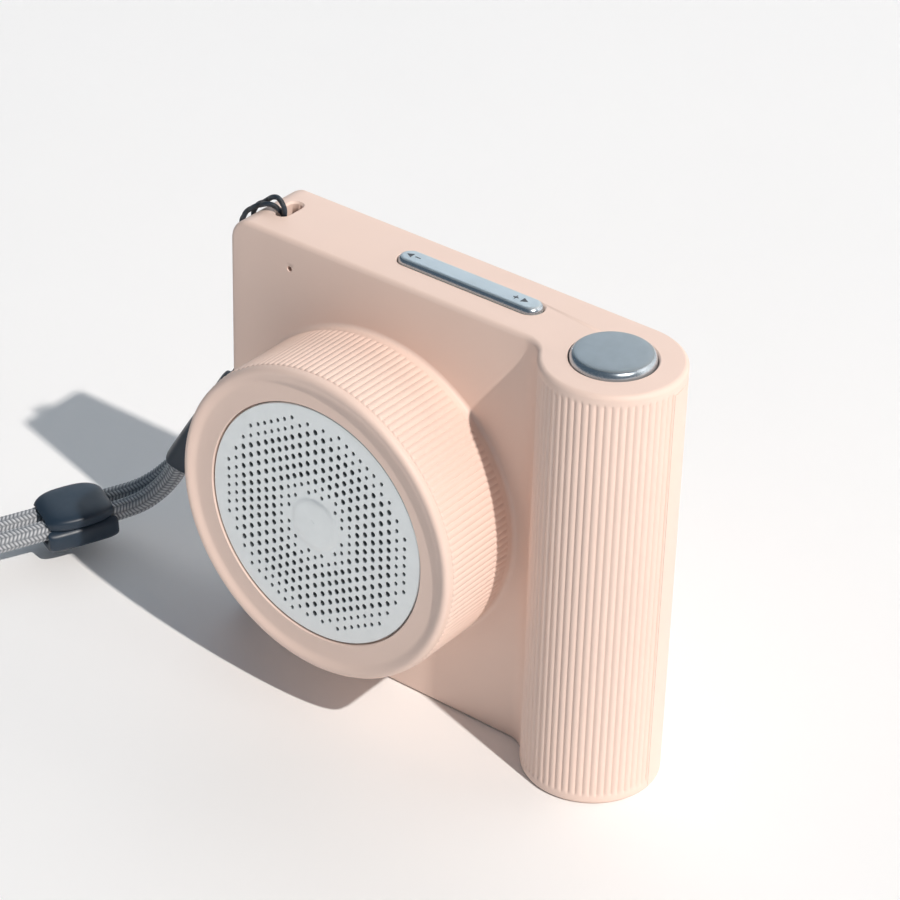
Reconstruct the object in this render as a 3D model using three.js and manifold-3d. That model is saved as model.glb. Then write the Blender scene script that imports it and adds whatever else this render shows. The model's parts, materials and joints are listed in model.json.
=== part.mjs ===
// A camera-shaped portable speaker with a wrist strap, as an assembly of named solids.
// Millimetres, +Z up. The front faces -Y, the grip is at +X, and the part stands on z = 0.
import * as THREE from "three";
import { mergeVertices } from "three/addons/utils/BufferGeometryUtils.js";
import Module from "manifold-3d";

const wasm = await Module();
wasm.setup();

// ---- Driving dimensions ---------------------------------------------------------------------
const GAP = 0.3; // clearance between pieces that touch on the real object
const WIDTH = 100;
const HEIGHT = 90;
const DEPTH = 37.5; // from the front lip of the barrel to the back face
const SLAB = 17.5; // thickness of the flat body behind the barrel
const WALL = 2;
const TOP_WALL = 2.5;
const GRIP_R = 13.5;
const GRIP_BLEND = 6; // hollow fillet between the slab front and the grip
const CORNER_R = 5; // left corners of the slab, seen from the front
const EDGE = 1; // rounding of the top and bottom edges

const LEFT = -WIDTH / 2;
const RIGHT = WIDTH / 2;
const FRONT = -DEPTH / 2; // front lip of the barrel
const BACK = DEPTH / 2;
const SLAB_FRONT = BACK - SLAB;
const SLAB_MID = BACK - SLAB / 2;
const GRIP_X = RIGHT - GRIP_R;
const GRIP_Y = BACK - GRIP_R;
const SEAM_TOP = HEIGHT - TOP_WALL - GAP; // the rear cover ends under the top wall
const COVER_T = 2.25; // thickness of the flat part of the rear cover
const COVER_SPLIT_X = 24; // the seam steps forward to the grip's middle here

const BARREL_X = -13;
const BARREL_Z = HEIGHT / 2;
const BARREL_R = 32.5;
const TUBE_OUT = 29.2;
const TUBE_IN = 27.2;
const TUBE_FRONT = -17;
const TUBE_REAR = SLAB_FRONT - GAP; // the tube's root rests on the front of the shell
const ROOT_R = 33.3; // the tube flares out to this at its root
const LEDGE_IN = 23.6; // the loudspeaker's seat inside the tube
const LEDGE_Y = [-10.1, -8.1];
const SLEEVE_REAR = -0.6;
const GRILLE_R = 25;

const BUTTON_R = 7.95;
const BUTTON_HOLE_R = 8.5;
const KEY_BOARD_Z = 79.4; // underside of the key board
const BOARD_T = 1.2;
const SWITCH_Z = KEY_BOARD_Z + BOARD_T + GAP;
const SWITCH_H = 3.1;
const SWITCH_SIZE = 6;
const PLUNGER_TOP = SWITCH_Z + SWITCH_H + 0.65;
const ROCKER_L = 32.4;
const ROCKER_W = 4.9;
const ROCKER_X = 0.8;
const ROCKER_FOOT = 12; // distance of each rocker foot from its pivot
const ROCKER_GAP = 0.5; // all round, in its opening
const PIVOT_Z = 85.2;
const PIVOT_BORE_R = 1.1;
const TRUNNION_R = 0.8;
const TRUNNION_REACH = 5; // half the length of the rocker's axle
const BORE_REACH = 5.5;
const EAR_T = 1.1; // thickness of the two lugs that carry it
const COUNTERBORE_R = 2.3;
const COUNTERBORE_DEPTH = 1.3;

const CELL_R = 9.2;
const CELL_L = 65;
const CELL_Z = 6;

const SLOT_X = [-44.4, -41.6]; // strap eyelet: a slot in the top that turns out through the left side
const SLOT_Y = [7.2, 13.6];
const SLOT_OUT_Z = [79, 82.6];

const BRAID_D = 4.4;
const THIN_D = 1.1;
const STRAND = 2.6; // each braided strand's distance from the strap's middle line
const SLIDER_L = 15.2;
const SLIDER_W = 13.6;
const SLIDER_T = 7.8;

// ---- Materials ------------------------------------------------------------------------------
const finish = (color, roughness, metalness = 0) =>
  new THREE.MeshStandardMaterial({ color, roughness, metalness });
const SHELL_PINK = 0xe9cfc4;
const STEEL = 0xaab2b6;
const NAVY = 0x232f3a;

// ---- Solids ---------------------------------------------------------------------------------
function solidOf(geometry) {
  const bare = geometry.index ? geometry.toNonIndexed() : geometry.clone();
  bare.deleteAttribute("normal");
  bare.deleteAttribute("uv");
  const merged = mergeVertices(bare, 1e-4);
  const vertProperties = merged.attributes.position.array;
  const triVerts = new Uint32Array(merged.index.array);
  return new wasm.Manifold(new wasm.Mesh({ numProp: 3, vertProperties, triVerts }));
}

function geometryOf(solid) {
  const mesh = solid.getMesh();
  const geometry = new THREE.BufferGeometry();
  geometry.setAttribute("position", new THREE.BufferAttribute(mesh.vertProperties, 3));
  geometry.setIndex(new THREE.BufferAttribute(mesh.triVerts, 1));
  geometry.computeVertexNormals();
  return geometry;
}

const joined = (solids) => solids.reduce((a, b) => a.add(b));
const cutBy = (solid, cutters) => cutters.reduce((a, b) => a.subtract(b), solid);

const assembly = new THREE.Group();
function addPiece(name, solid, material) {
  const mesh = new THREE.Mesh(geometryOf(solid), material);
  mesh.name = name;
  assembly.add(mesh);
  return mesh;
}

const box = (x0, x1, y0, y1, z0, z1) =>
  solidOf(
    new THREE.BoxGeometry(x1 - x0, y1 - y0, z1 - z0).translate((x0 + x1) / 2, (y0 + y1) / 2, (z0 + z1) / 2),
  );

function plateXY(shape, z0, z1, curveSegments = 3) {
  const geometry = new THREE.ExtrudeGeometry(shape, { depth: z1 - z0, bevelEnabled: false, curveSegments });
  return solidOf(geometry.translate(0, 0, z0));
}

// The shape's own x and y become the part's x and z.
function plateXZ(shape, y0, y1, curveSegments = 3) {
  const geometry = new THREE.ExtrudeGeometry(shape, { depth: y1 - y0, bevelEnabled: false, curveSegments });
  return solidOf(geometry.rotateX(Math.PI / 2).translate(0, y1, 0));
}

const rodZ = (x, y, z0, z1, r, sides = 24) =>
  solidOf(
    new THREE.CylinderGeometry(r, r, z1 - z0, sides).rotateX(Math.PI / 2).translate(x, y, (z0 + z1) / 2),
  );
const rodY = (x, z, y0, y1, r, sides = 24) =>
  solidOf(new THREE.CylinderGeometry(r, r, y1 - y0, sides).translate(x, (y0 + y1) / 2, z));

// A ring or disc turned about the line through (x, z) along Y; the profile's points are [radius, y].
function turnedY(profile, x, z, sides = 28) {
  return solidOf(new THREE.LatheGeometry(outward(profile), sides).translate(x, 0, z));
}

// The same about the line through (x, y) along Z; the profile's points are [radius, z].
function turnedZ(profile, x, y, sides = 40) {
  const geometry = new THREE.LatheGeometry(outward(profile), sides).rotateX(Math.PI / 2);
  return solidOf(geometry.translate(x, y, 0));
}

// Orders a profile so that the turned faces point out, and closes it when it is off the axis.
function outward(profile) {
  const points = profile.map(([r, h]) => new THREE.Vector2(r, h));
  const closes = points[0].x > 0;
  if (THREE.ShapeUtils.area(points) <= 0) points.reverse();
  if (closes) points.push(points[0].clone());
  return points;
}

function circle(x, y, r) {
  const shape = new THREE.Shape();
  shape.absarc(x, y, r, 0, Math.PI * 2, false);
  return shape;
}

function roundedRect(x0, y0, x1, y1, r) {
  const shape = new THREE.Shape();
  shape.absarc(x1 - r, y0 + r, r, -Math.PI / 2, 0, false);
  shape.absarc(x1 - r, y1 - r, r, 0, Math.PI / 2, false);
  shape.absarc(x0 + r, y1 - r, r, Math.PI / 2, Math.PI, false);
  shape.absarc(x0 + r, y0 + r, r, Math.PI, Math.PI * 1.5, false);
  return shape;
}

function stadium(x, y, length, width) {
  const r = width / 2;
  const shape = new THREE.Shape();
  shape.absarc(x + length / 2 - r, y, r, -Math.PI / 2, Math.PI / 2, false);
  shape.absarc(x - length / 2 + r, y, r, Math.PI / 2, Math.PI * 1.5, false);
  return shape;
}

// The outline of the volume key, widened by `grow` all round.
const grownStadium = (grow) => stadium(ROCKER_X, SLAB_MID, ROCKER_L + 2 * grow, ROCKER_W + 2 * grow);

function tube(points, diameter, steps, sides = 8) {
  const curve = new THREE.CatmullRomCurve3(
    points.map(([x, y, z]) => new THREE.Vector3(x, y, z)),
    false,
    "centripetal",
  );
  const section = new THREE.Shape();
  for (let i = 0; i < sides; i++) {
    const a = (i / sides) * Math.PI * 2;
    section[i ? "lineTo" : "moveTo"]((Math.cos(a) * diameter) / 2, (Math.sin(a) * diameter) / 2);
  }
  return solidOf(new THREE.ExtrudeGeometry(section, { steps, extrudePath: curve }));
}

// ---- Body shells ----------------------------------------------------------------------------
// Outline of the body seen from above, moved in by `inset`: slab, round grip and the hollow fillet.
function planOutline(inset) {
  const front = SLAB_FRONT + inset;
  const back = BACK - inset;
  const grip = GRIP_R - inset;
  const blend = GRIP_BLEND + inset;
  const blendY = front - blend;
  const reach = Math.sqrt((grip + blend) ** 2 - (GRIP_Y - blendY) ** 2);
  const blendX = GRIP_X - reach;
  const meet = Math.atan2(GRIP_Y - blendY, reach);
  const shape = new THREE.Shape();
  shape.moveTo(LEFT + inset, front);
  shape.lineTo(blendX, front);
  shape.absarc(blendX, blendY, blend, Math.PI / 2, meet, true);
  shape.absarc(GRIP_X, GRIP_Y, grip, meet - Math.PI, Math.PI / 2, false);
  shape.lineTo(LEFT + inset, back);
  return shape;
}

// Outline from the front: square at the grip, round at the left corners.
function frontOutline(inset, top) {
  const r = CORNER_R - inset;
  const shape = new THREE.Shape();
  shape.moveTo(RIGHT + 1, inset);
  shape.lineTo(RIGHT + 1, top);
  shape.absarc(LEFT + inset + r, top - r, r, Math.PI / 2, Math.PI, false);
  shape.absarc(LEFT + inset + r, inset + r, r, Math.PI, Math.PI * 1.5, false);
  return shape;
}

function outerBody() {
  const geometry = new THREE.ExtrudeGeometry(planOutline(0), {
    depth: HEIGHT - 2 * EDGE,
    bevelThickness: EDGE,
    bevelSize: EDGE,
    bevelOffset: -EDGE,
    bevelSegments: 2,
    curveSegments: 8,
  });
  const block = solidOf(geometry.translate(0, 0, EDGE));
  return block.intersect(plateXZ(frontOutline(0, HEIGHT), FRONT, BACK + 1, 4));
}

function innerBody() {
  const block = plateXY(planOutline(WALL), WALL, HEIGHT - TOP_WALL, 6);
  return block.intersect(plateXZ(frontOutline(WALL, HEIGHT - TOP_WALL), FRONT, BACK + 1, 3));
}

// Space taken by the rear cover; `grow` widens it for the cut in the front shell.
function coverSpace(grow) {
  const top = SEAM_TOP + grow;
  const flat = box(LEFT - 1, RIGHT + 1, BACK - COVER_T - grow, BACK + 1, -1, top);
  const gripHalf = box(COVER_SPLIT_X - grow, RIGHT + 1, GRIP_Y + GAP / 2 - grow, BACK + 1, -1, top);
  return flat.add(gripHalf);
}

const COVER_SCREWS = [
  [-44.5, 7.5],
  [-44.5, 68],
  [20, 7.5],
  [20, 72],
];
const MAIN_SCREWS = [
  [-38, 15],
  [12, 15],
];
const KEY_SCREWS = [-20.5, 22.5];
const BOARD_Y = 11; // front face of the main board

const boss = (x, z, y1, hole) =>
  rodY(x, z, SLAB_FRONT + WALL - 0.5, y1, 2.7, 12).subtract(
    rodY(x, z, SLAB_FRONT + WALL + 1, y1 + 1, hole, 8),
  );

function frontShell() {
  const openFront = rodY(BARREL_X, BARREL_Z, SLAB_FRONT - 1, SLAB_FRONT + WALL + 1, TUBE_IN + 0.6, 36);
  const strapBlock = box(
    LEFT + 1, SLOT_X[1] + WALL, SLOT_Y[0] - WALL, SLOT_Y[1] + WALL, SLOT_OUT_Z[0] - WALL, SEAM_TOP + 0.5,
  );
  const rockerEars = [SLAB_MID - 4 - EAR_T, SLAB_MID + 4].map((y) =>
    box(ROCKER_X - 2.2, ROCKER_X + 2.2, y, y + EAR_T, PIVOT_Z - 1.9, HEIGHT - TOP_WALL + 0.5),
  );
  const shell = joined([
    cutBy(outerBody(), [innerBody(), coverSpace(GAP), openFront]),
    ...COVER_SCREWS.map(([x, z]) => boss(x, z, BACK - COVER_T - 2 * GAP, 1.3)),
    ...MAIN_SCREWS.map(([x, z]) => boss(x, z, BOARD_Y - GAP, 1.2)),
    ...KEY_SCREWS.map((x) => rodZ(x, SLAB_MID, SWITCH_Z, HEIGHT - TOP_WALL + 0.5, 2.5, 12)),
    strapBlock.intersect(outerBody()),
    ...rockerEars,
  ]);
  const wallTop = HEIGHT + 1;
  const wallUnder = HEIGHT - TOP_WALL - 1;
  return cutBy(shell, [
    rodZ(GRIP_X, GRIP_Y, wallUnder, wallTop, BUTTON_HOLE_R, 32),
    plateXY(grownStadium(ROCKER_GAP), wallUnder, wallTop),
    box(...SLOT_X, ...SLOT_Y, SLOT_OUT_Z[0], wallTop),
    box(LEFT - 1, SLOT_X[1], ...SLOT_Y, ...SLOT_OUT_Z),
    rodY(ROCKER_X, PIVOT_Z, SLAB_MID - BORE_REACH, SLAB_MID + BORE_REACH, PIVOT_BORE_R, 16),
    ...KEY_SCREWS.map((x) => rodZ(x, SLAB_MID, SWITCH_Z - 1, HEIGHT - TOP_WALL - 0.8, 1.2, 8)),
    rodY(MIC_X, MIC_Z, SLAB_FRONT - 1, SLAB_FRONT + WALL + 1, 0.6, 12),
    usbOpening(),
  ]);
}

// Carries the loudspeaker; its root flares out onto the shell, and its ledge seats the driver.
const barrelTube = () =>
  turnedY(
    [
      [LEDGE_IN, LEDGE_Y[0]],
      [TUBE_IN, LEDGE_Y[0]],
      [TUBE_IN, TUBE_FRONT],
      [TUBE_OUT, TUBE_FRONT],
      [TUBE_OUT, SLEEVE_REAR + GAP],
      [ROOT_R - 1.5, SLEEVE_REAR + GAP],
      [ROOT_R - 1, TUBE_REAR - 0.8],
      [ROOT_R, TUBE_REAR],
      [TUBE_IN, TUBE_REAR],
      [TUBE_IN, LEDGE_Y[1]],
      [LEDGE_IN, LEDGE_Y[1]],
    ],
    BARREL_X,
    BARREL_Z,
    36,
  );

function rearCover() {
  const shell = outerBody().subtract(innerBody()).intersect(coverSpace(0));
  const holes = COVER_SCREWS.flatMap(([x, z]) => [
    rodY(x, z, BACK - COVER_T - 1, BACK + 1, 1.3, 10),
    rodY(x, z, BACK - COUNTERBORE_DEPTH, BACK + 1, COUNTERBORE_R, 16),
  ]);
  return cutBy(shell, holes);
}

function coverScrew([x, z]) {
  const head = rodY(x, z, BACK - COUNTERBORE_DEPTH + GAP, BACK - 0.1, COUNTERBORE_R - GAP, 14);
  const slotDepth = box(x - 1.2, x + 1.2, BACK - 0.6, BACK, z - 0.25, z + 0.25);
  const crossDepth = box(x - 0.25, x + 0.25, BACK - 0.6, BACK, z - 1.2, z + 1.2);
  const shaft = rodY(x, z, 8, BACK - 1.2 + GAP, 1, 8);
  return cutBy(head.add(shaft), [slotDepth, crossDepth]);
}

// ---- Barrel trim, grille ----------------------------------------------------------------------
const barrelSleeve = () =>
  turnedY(
    [
      [TUBE_OUT + GAP, TUBE_FRONT],
      [BARREL_R - 0.3, TUBE_FRONT],
      [BARREL_R, TUBE_FRONT + 0.4],
      [BARREL_R, SLEEVE_REAR - 0.4],
      [BARREL_R - 0.4, SLEEVE_REAR],
      [TUBE_OUT + GAP, SLEEVE_REAR],
    ],
    BARREL_X,
    BARREL_Z,
    36,
  );

// Rounded lip, flat face, a seat for the grille and a spigot that clamps the loudspeaker's flange.
const frontRing = () =>
  turnedY(
    [
      [24.2, -16],
      [24.2, -16.6],
      [25.3, -16.6],
      [25.3, -18],
      [29.3, -18],
      [29.8, FRONT + 0.25],
      [30.6, FRONT],
      [31.5, FRONT + 0.2],
      [32.2, FRONT + 0.8],
      [32.3, TUBE_FRONT - GAP],
      [TUBE_IN - GAP, TUBE_FRONT - GAP],
      [TUBE_IN - GAP, -12.8],
      [25.4, -12.8],
      [25.4, -16],
    ],
    BARREL_X,
    BARREL_Z,
    36,
  );

// A pressed disc with holes on a triangular grid, plain round the middle and along the rim.
function grille() {
  const disc = circle(0, 0, GRILLE_R).getPoints(24);
  const shape = new THREE.Shape(disc);
  const pitch = 6.2;
  const rings = 3;
  for (let q = -rings; q <= rings; q++)
    for (let r = -rings; r <= rings; r++) {
      const ring = Math.max(Math.abs(q), Math.abs(r), Math.abs(q + r));
      if (ring < 2 || ring > rings) continue;
      const hole = circle(pitch * (q + r / 2), pitch * r * Math.sqrt(0.75), 1.3);
      shape.holes.push(new THREE.Path(hole.getPoints(3).reverse()));
    }
  const face = plateXZ(shape, -17.7, -16.9).translate([BARREL_X, 0, BARREL_Z]);
  const pressed = turnedY(
    [
      [0, -18.1],
      [3.5, -18.05],
      [5.1, -17.65],
      [5.1, -17.2],
      [0, -17.2],
    ],
    BARREL_X,
    BARREL_Z,
    20,
  );
  return face.add(pressed);
}

// ---- Loudspeaker ------------------------------------------------------------------------------
function driverBasket() {
  const frame = turnedY(
    [
      [26.5, -12.5],
      [26.5, -11.3],
      [23.2, -11.3],
      [14.4, -1.7],
      [14.4, -0.3],
      [6.4, -0.3],
      [6.4, -1.5],
      [13.2, -1.5],
      [22.5, -11.6],
      [22.5, -12.5],
    ],
    BARREL_X,
    BARREL_Z,
    32,
  );
  const windows = [0, 1, 2, 3].map((i) => {
    const slot = box(14.9, 21.3, -14, 0, -6.5, 6.5);
    return slot.rotate([0, 45 + i * 90, 0]).translate([BARREL_X, 0, BARREL_Z]);
  });
  return cutBy(frame, windows);
}

const ring = (inner, outer, y0, y1, sides = 28) =>
  turnedY([[inner, y0], [outer, y0], [outer, y1], [inner, y1]], BARREL_X, BARREL_Z, sides);

const driverYoke = () =>
  turnedY([[0, -0.2], [4.5, -0.2], [4.5, 7.3], [12, 7.3], [12, 9.3], [0, 9.3]], BARREL_X, BARREL_Z);

const cone = () =>
  turnedY([[5.65, -5.4], [17.3, -12.3], [17.6, -11.9], [5.95, -4.9], [5.65, -4.9]], BARREL_X, BARREL_Z, 36);

// Half-roll rubber edge between the cone and the frame.
function surround() {
  const profile = [];
  const mid = 19.95;
  for (const [radius, turns] of [[2.2, [0, 1, 2, 3, 4]], [1.7, [4, 3, 2, 1, 0]]])
    for (const i of turns) {
      const a = Math.PI - (i / 4) * Math.PI;
      profile.push([mid + Math.cos(a) * radius, -12.2 - Math.sin(a) * radius]);
    }
  return turnedY(profile, BARREL_X, BARREL_Z, 28);
}

// Corrugated centring disc between the coil and the frame.
function spider() {
  const inner = 5.65;
  const outer = 12.4;
  const steps = 6;
  const wave = (i) => [inner + ((outer - inner) * i) / steps, -3.4 + (i % 2 ? 0.3 : -0.3)];
  const front = Array.from({ length: steps + 1 }, (_, i) => wave(i));
  const rear = front.map(([r, y]) => [r, y + 0.4]).reverse();
  return turnedY([...front, ...rear], BARREL_X, BARREL_Z, 24);
}

function dustCap() {
  const arc = (r, crown, rim) =>
    Array.from({ length: 5 }, (_, i) => {
      const t = i / 4;
      return [r * t, crown + (rim - crown) * t * t];
    });
  const outer = arc(7, -9.6, -6.9);
  const inner = arc(6.6, -9.2, -6.6).reverse();
  return turnedY([...outer, ...inner], BARREL_X, BARREL_Z, 24);
}

// ---- Keys and boards --------------------------------------------------------------------------
function powerButton() {
  const cap = [
    [0, HEIGHT + 1.6],
    [3, HEIGHT + 1.5],
    [5.6, HEIGHT + 1.15],
    [7.2, HEIGHT + 0.6],
    [BUTTON_R, HEIGHT - 0.2],
    [BUTTON_R, 87.2],
    [9.4, 87.1],
    [9.4, 86.1],
    [1.6, 86.1],
    [1.6, PLUNGER_TOP + GAP],
    [0, PLUNGER_TOP + GAP],
  ];
  return turnedZ(cap, GRIP_X, GRIP_Y, 28);
}

const FLANGE_Z = [85.5, 86.6];
function volumeRocker() {
  const bar = new THREE.ExtrudeGeometry(grownStadium(0), {
    depth: HEIGHT + 0.3 - FLANGE_Z[1] + 0.1,
    bevelThickness: 0.6,
    bevelSize: 0.6,
    bevelOffset: -0.6,
    bevelSegments: 2,
    curveSegments: 3,
  });
  const feet = [-1, 1].map((s) =>
    rodZ(ROCKER_X + s * ROCKER_FOOT, SLAB_MID, PLUNGER_TOP + GAP, FLANGE_Z[0] + 0.2, 1.2, 12),
  );
  return joined([
    solidOf(bar.translate(0, 0, FLANGE_Z[1] - 0.1)),
    plateXY(stadium(ROCKER_X, SLAB_MID, ROCKER_L + 1, 7.2), ...FLANGE_Z),
    rodY(ROCKER_X, PIVOT_Z, SLAB_MID - TRUNNION_REACH, SLAB_MID + TRUNNION_REACH, TRUNNION_R, 12),
    box(ROCKER_X - 1.2, ROCKER_X + 1.2, SLAB_MID - 3.4, SLAB_MID + 3.4, PIVOT_Z - 0.6, FLANGE_Z[0] + 0.2),
    ...feet,
  ]);
}

const SWITCHES = [
  ["power_switch", GRIP_X, GRIP_Y],
  ["volume_down_switch", ROCKER_X - ROCKER_FOOT, SLAB_MID],
  ["volume_up_switch", ROCKER_X + ROCKER_FOOT, SLAB_MID],
];
function switchHousing(x, y) {
  const half = SWITCH_SIZE / 2;
  const block = box(x - half, x + half, y - half, y + half, SWITCH_Z, SWITCH_Z + SWITCH_H);
  return block.subtract(rodZ(x, y, SWITCH_Z + 0.6, SWITCH_Z + SWITCH_H + 1, 2.05, 16));
}
const switchPlunger = (x, y) => rodZ(x, y, SWITCH_Z + 1.7, PLUNGER_TOP, 1.7, 16);

function keyBoard() {
  const outline = roundedRect(KEY_SCREWS[0] - 3, SLAB_MID - 4.2, GRIP_X, SLAB_MID + 4.2, 1);
  const plate = plateXY(outline, KEY_BOARD_Z, KEY_BOARD_Z + BOARD_T);
  const pad = rodZ(GRIP_X, GRIP_Y, KEY_BOARD_Z, KEY_BOARD_Z + BOARD_T, 7.4, 32);
  const holes = KEY_SCREWS.map((x) => rodZ(x, SLAB_MID, KEY_BOARD_Z - 1, SWITCH_Z + 1, 1.3, 12));
  return cutBy(plate.add(pad), holes);
}

function keyScrew(x) {
  const head = rodZ(x, SLAB_MID, KEY_BOARD_Z - GAP - 1.2, KEY_BOARD_Z - GAP, 1.9, 16);
  return head.add(rodZ(x, SLAB_MID, KEY_BOARD_Z - GAP - 0.1, 85.6, 0.9, 10));
}

const BOARD_BACK = BOARD_Y + BOARD_T;
function mainBoard() {
  const plate = plateXZ(roundedRect(-45.5, 11, 16, 66, 1.5), BOARD_Y, BOARD_BACK);
  const clear = COVER_SCREWS.map(([x, z]) => rodY(x, z, BOARD_Y - 1, BOARD_BACK + 1, 3.2, 16));
  const holes = MAIN_SCREWS.map(([x, z]) => rodY(x, z, BOARD_Y - 1, BOARD_BACK + 1, 1.3, 12));
  return cutBy(plate, [...holes, ...clear]);
}

function mainScrew([x, z]) {
  const head = rodY(x, z, BOARD_BACK + GAP, BOARD_BACK + GAP + 1.2, 1.9, 16);
  return head.add(rodY(x, z, 6, BOARD_BACK + GAP + 0.1, 0.9, 10));
}

// Parts on the rear face of the main board: name, x and z of the middle, width, height, thickness.
const ON_BOARD = [
  ["radio_module", -18, 52, 13, 17, 2, 0x8f9598],
  ["amplifier_chip", -4, 34, 6, 6, 1, 0x1c1d20],
  ["charger_chip", -31, 27, 4, 4, 1, 0x1c1d20],
  ["battery_connector", 10, 58, 6, 5, 2.6, 0xe8e4d8],
  ["speaker_connector", 8, 30, 5, 5, 2.6, 0xe8e4d8],
];
const boardPart = (x, z, w, h, t) =>
  box(x - w / 2, x + w / 2, BOARD_BACK + GAP, BOARD_BACK + GAP + t, z - h / 2, z + h / 2);

const USB_Z = 22;
const USB_Y = BOARD_BACK + GAP + 1.63;
const sideStadium = (length, width) => stadium(-USB_Z, USB_Y, length, width);
// A stadium drawn in (-z, y), pushed along x.
const alongX = (shape, x0, x1) => plateXY(shape, x0, x1).rotate([0, 90, 0]);

const usbOpening = () => alongX(sideStadium(9.9, 4.1), LEFT - 1, LEFT + WALL + 1);
function usbSocket() {
  const outer = alongX(sideStadium(8.94, 3.26), LEFT + 0.9, LEFT + 8.2);
  const hollow = alongX(sideStadium(8.34, 2.56), LEFT, LEFT + 7.2);
  const tongue = box(LEFT + 2.2, LEFT + 7.6, USB_Y - 0.35, USB_Y + 0.35, USB_Z - 3.3, USB_Z + 3.3);
  return outer.subtract(hollow).add(tongue);
}

const MIC_X = -35.2;
const MIC_Z = 83.6;
const MIC_Y = SLAB_FRONT + WALL + GAP;
function microphoneBoot() {
  const cup = rodY(MIC_X, MIC_Z, MIC_Y, MIC_Y + 4.4, 2.9, 20);
  const seat = rodY(MIC_X, MIC_Z, MIC_Y + 1.2, MIC_Y + 5, 2.35, 20);
  return cutBy(cup, [seat, rodY(MIC_X, MIC_Z, MIC_Y - 1, MIC_Y + 2, 0.6, 10)]);
}

// Flat ribbon from the rear of the key board down to the main board.
function keyRibbon() {
  const middle = [
    [SLAB_MID + 3.9, KEY_BOARD_Z - GAP],
    [SLAB_MID + 4.6, 74],
    [BOARD_BACK + GAP + 1.3, 69],
    [BOARD_BACK + GAP + 0.3, 63.5],
  ];
  const profile = new THREE.Shape();
  middle.forEach(([y, z], i) => profile[i ? "lineTo" : "moveTo"](y, z));
  [...middle].reverse().forEach(([y, z]) => profile.lineTo(y + 0.35, z));
  // The profile is drawn in (y, z), pushed along x.
  const geometry = new THREE.ExtrudeGeometry(profile, { depth: 7, bevelEnabled: false });
  return solidOf(geometry.rotateX(Math.PI / 2).rotateZ(Math.PI / 2).translate(-15, 0, 0));
}

// ---- Battery ----------------------------------------------------------------------------------
function batteryCell() {
  const wall = [
    [0, CELL_Z],
    [CELL_R - 0.4, CELL_Z],
    [CELL_R, CELL_Z + 0.4],
    [CELL_R, CELL_Z + CELL_L - 1.2],
    [CELL_R - 0.4, CELL_Z + CELL_L - 0.8],
    [3, CELL_Z + CELL_L - 0.8],
    [3, CELL_Z + CELL_L],
    [0, CELL_Z + CELL_L],
  ];
  return turnedZ(wall, GRIP_X, GRIP_Y, 24);
}

// A plastic clip round the cell, open towards the slab.
function batteryClip(z) {
  const from = Math.PI * 1.2;
  const to = Math.PI * 2.75;
  const shape = new THREE.Shape();
  shape.absarc(GRIP_X, GRIP_Y, 11.15, from, to, false);
  shape.absarc(GRIP_X, GRIP_Y, CELL_R + GAP, to, from, true);
  return plateXY(shape, z, z + 6, 8);
}

const LEADS = {
  battery_lead_red: [
    [33, 8.2, 71.5],
    [30.5, 9.2, 73.6],
    [26.6, 12.6, 72.4],
    [24.2, 14.9, 66],
    [19, 15.6, 62.5],
    [15.4, 15.2, 60.2],
    [13.4, 13.9, 58.6],
  ],
  battery_lead_black: [
    [28.2, 5.4, 5],
    [26.8, 5.5, 4.8],
    [25.8, 5.9, 6.6],
    [25.2, 7, 12],
    [24.6, 9, 22],
    [24, 12.6, 40],
    [20, 14.8, 50],
    [15.6, 14.6, 56],
    [13.4, 13.9, 57],
  ],
  speaker_lead_red: [
    [-8, 1.6, 62.6],
    [-4, 5.4, 67.4],
    [2, 11.2, 71],
    [8, 15.4, 66],
    [10.5, 15.7, 48],
    [8.8, 14.6, 35],
    [8.6, 13.9, 32.9],
  ],
  speaker_lead_black: [
    [-11, 1.6, 62.6],
    [-8.5, 5.4, 69],
    [-2, 11.6, 73],
    [5, 15.4, 69],
    [6.5, 15.7, 48],
    [6.8, 14.6, 35],
    [7, 13.9, 32.9],
  ],
  microphone_lead: [
    [MIC_X, MIC_Y + 4.9, MIC_Z],
    [MIC_X, MIC_Y + 7.6, MIC_Z - 1.8],
    [-34, 13.4, 76],
    [-31, 14.6, 69],
    [-29, 14, 62],
    [-29, 13.1, 58],
  ],
};

// ---- Wrist strap ------------------------------------------------------------------------------
// Thin cord: up the left side, twice round the corner bridge of the eyelet, and back down to the cap.
const THIN_CORD = [
  [-59.65, 10.9, 45.45],
  [-57.2, 10.9, 48.9],
  [-55.4, 10.9, 52.8],
  [-53.9, 10.8, 59.5],
  [-52.6, 10.6, 69],
  [-51.6, 10.5, 78],
  [-51.5, 10.2, 83],
  [-51.4, 9.8, 86.3],
  [-50.2, 9.3, 88.6],
  [-48.3, 8.8, 90.2],
  [-46.7, 8.4, 91.4],
  [-45.2, 8.1, 92.7],
  [-43.7, 8, 93],
  [-42.4, 8.1, 91.8],
  [-42.3, 8.2, 89.8],
  [-42.5, 8.3, 87.2],
  [-42.8, 8.5, 84.4],
  [-43.6, 8.8, 82],
  [-45.4, 9.1, 80.6],
  [-48, 9.2, 80.3],
  [-50.6, 8.8, 80.8],
  [-52.2, 8.1, 82.6],
  [-52.3, 7.4, 85],
  [-51.3, 6.9, 87.2],
  [-49.6, 6.7, 89.2],
  [-47.6, 6.8, 90.6],
  [-45.6, 7.1, 91.5],
  [-44, 7.8, 91.1],
  [-43.4, 8.9, 89.4],
  [-43.3, 10, 87],
  [-43.3, 11, 84.4],
  [-43.9, 11.8, 82],
  [-45.6, 12.3, 80.5],
  [-48.2, 12.4, 80.4],
  [-50.3, 12.4, 80.1],
  [-51.6, 12.4, 78.6],
  [-52, 12.4, 76],
  [-52.7, 12.4, 69],
  [-54, 12.4, 60],
  [-55.5, 12.4, 52.8],
  [-57.3, 12.4, 48.9],
  [-59.65, 12.4, 45.5],
];

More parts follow.
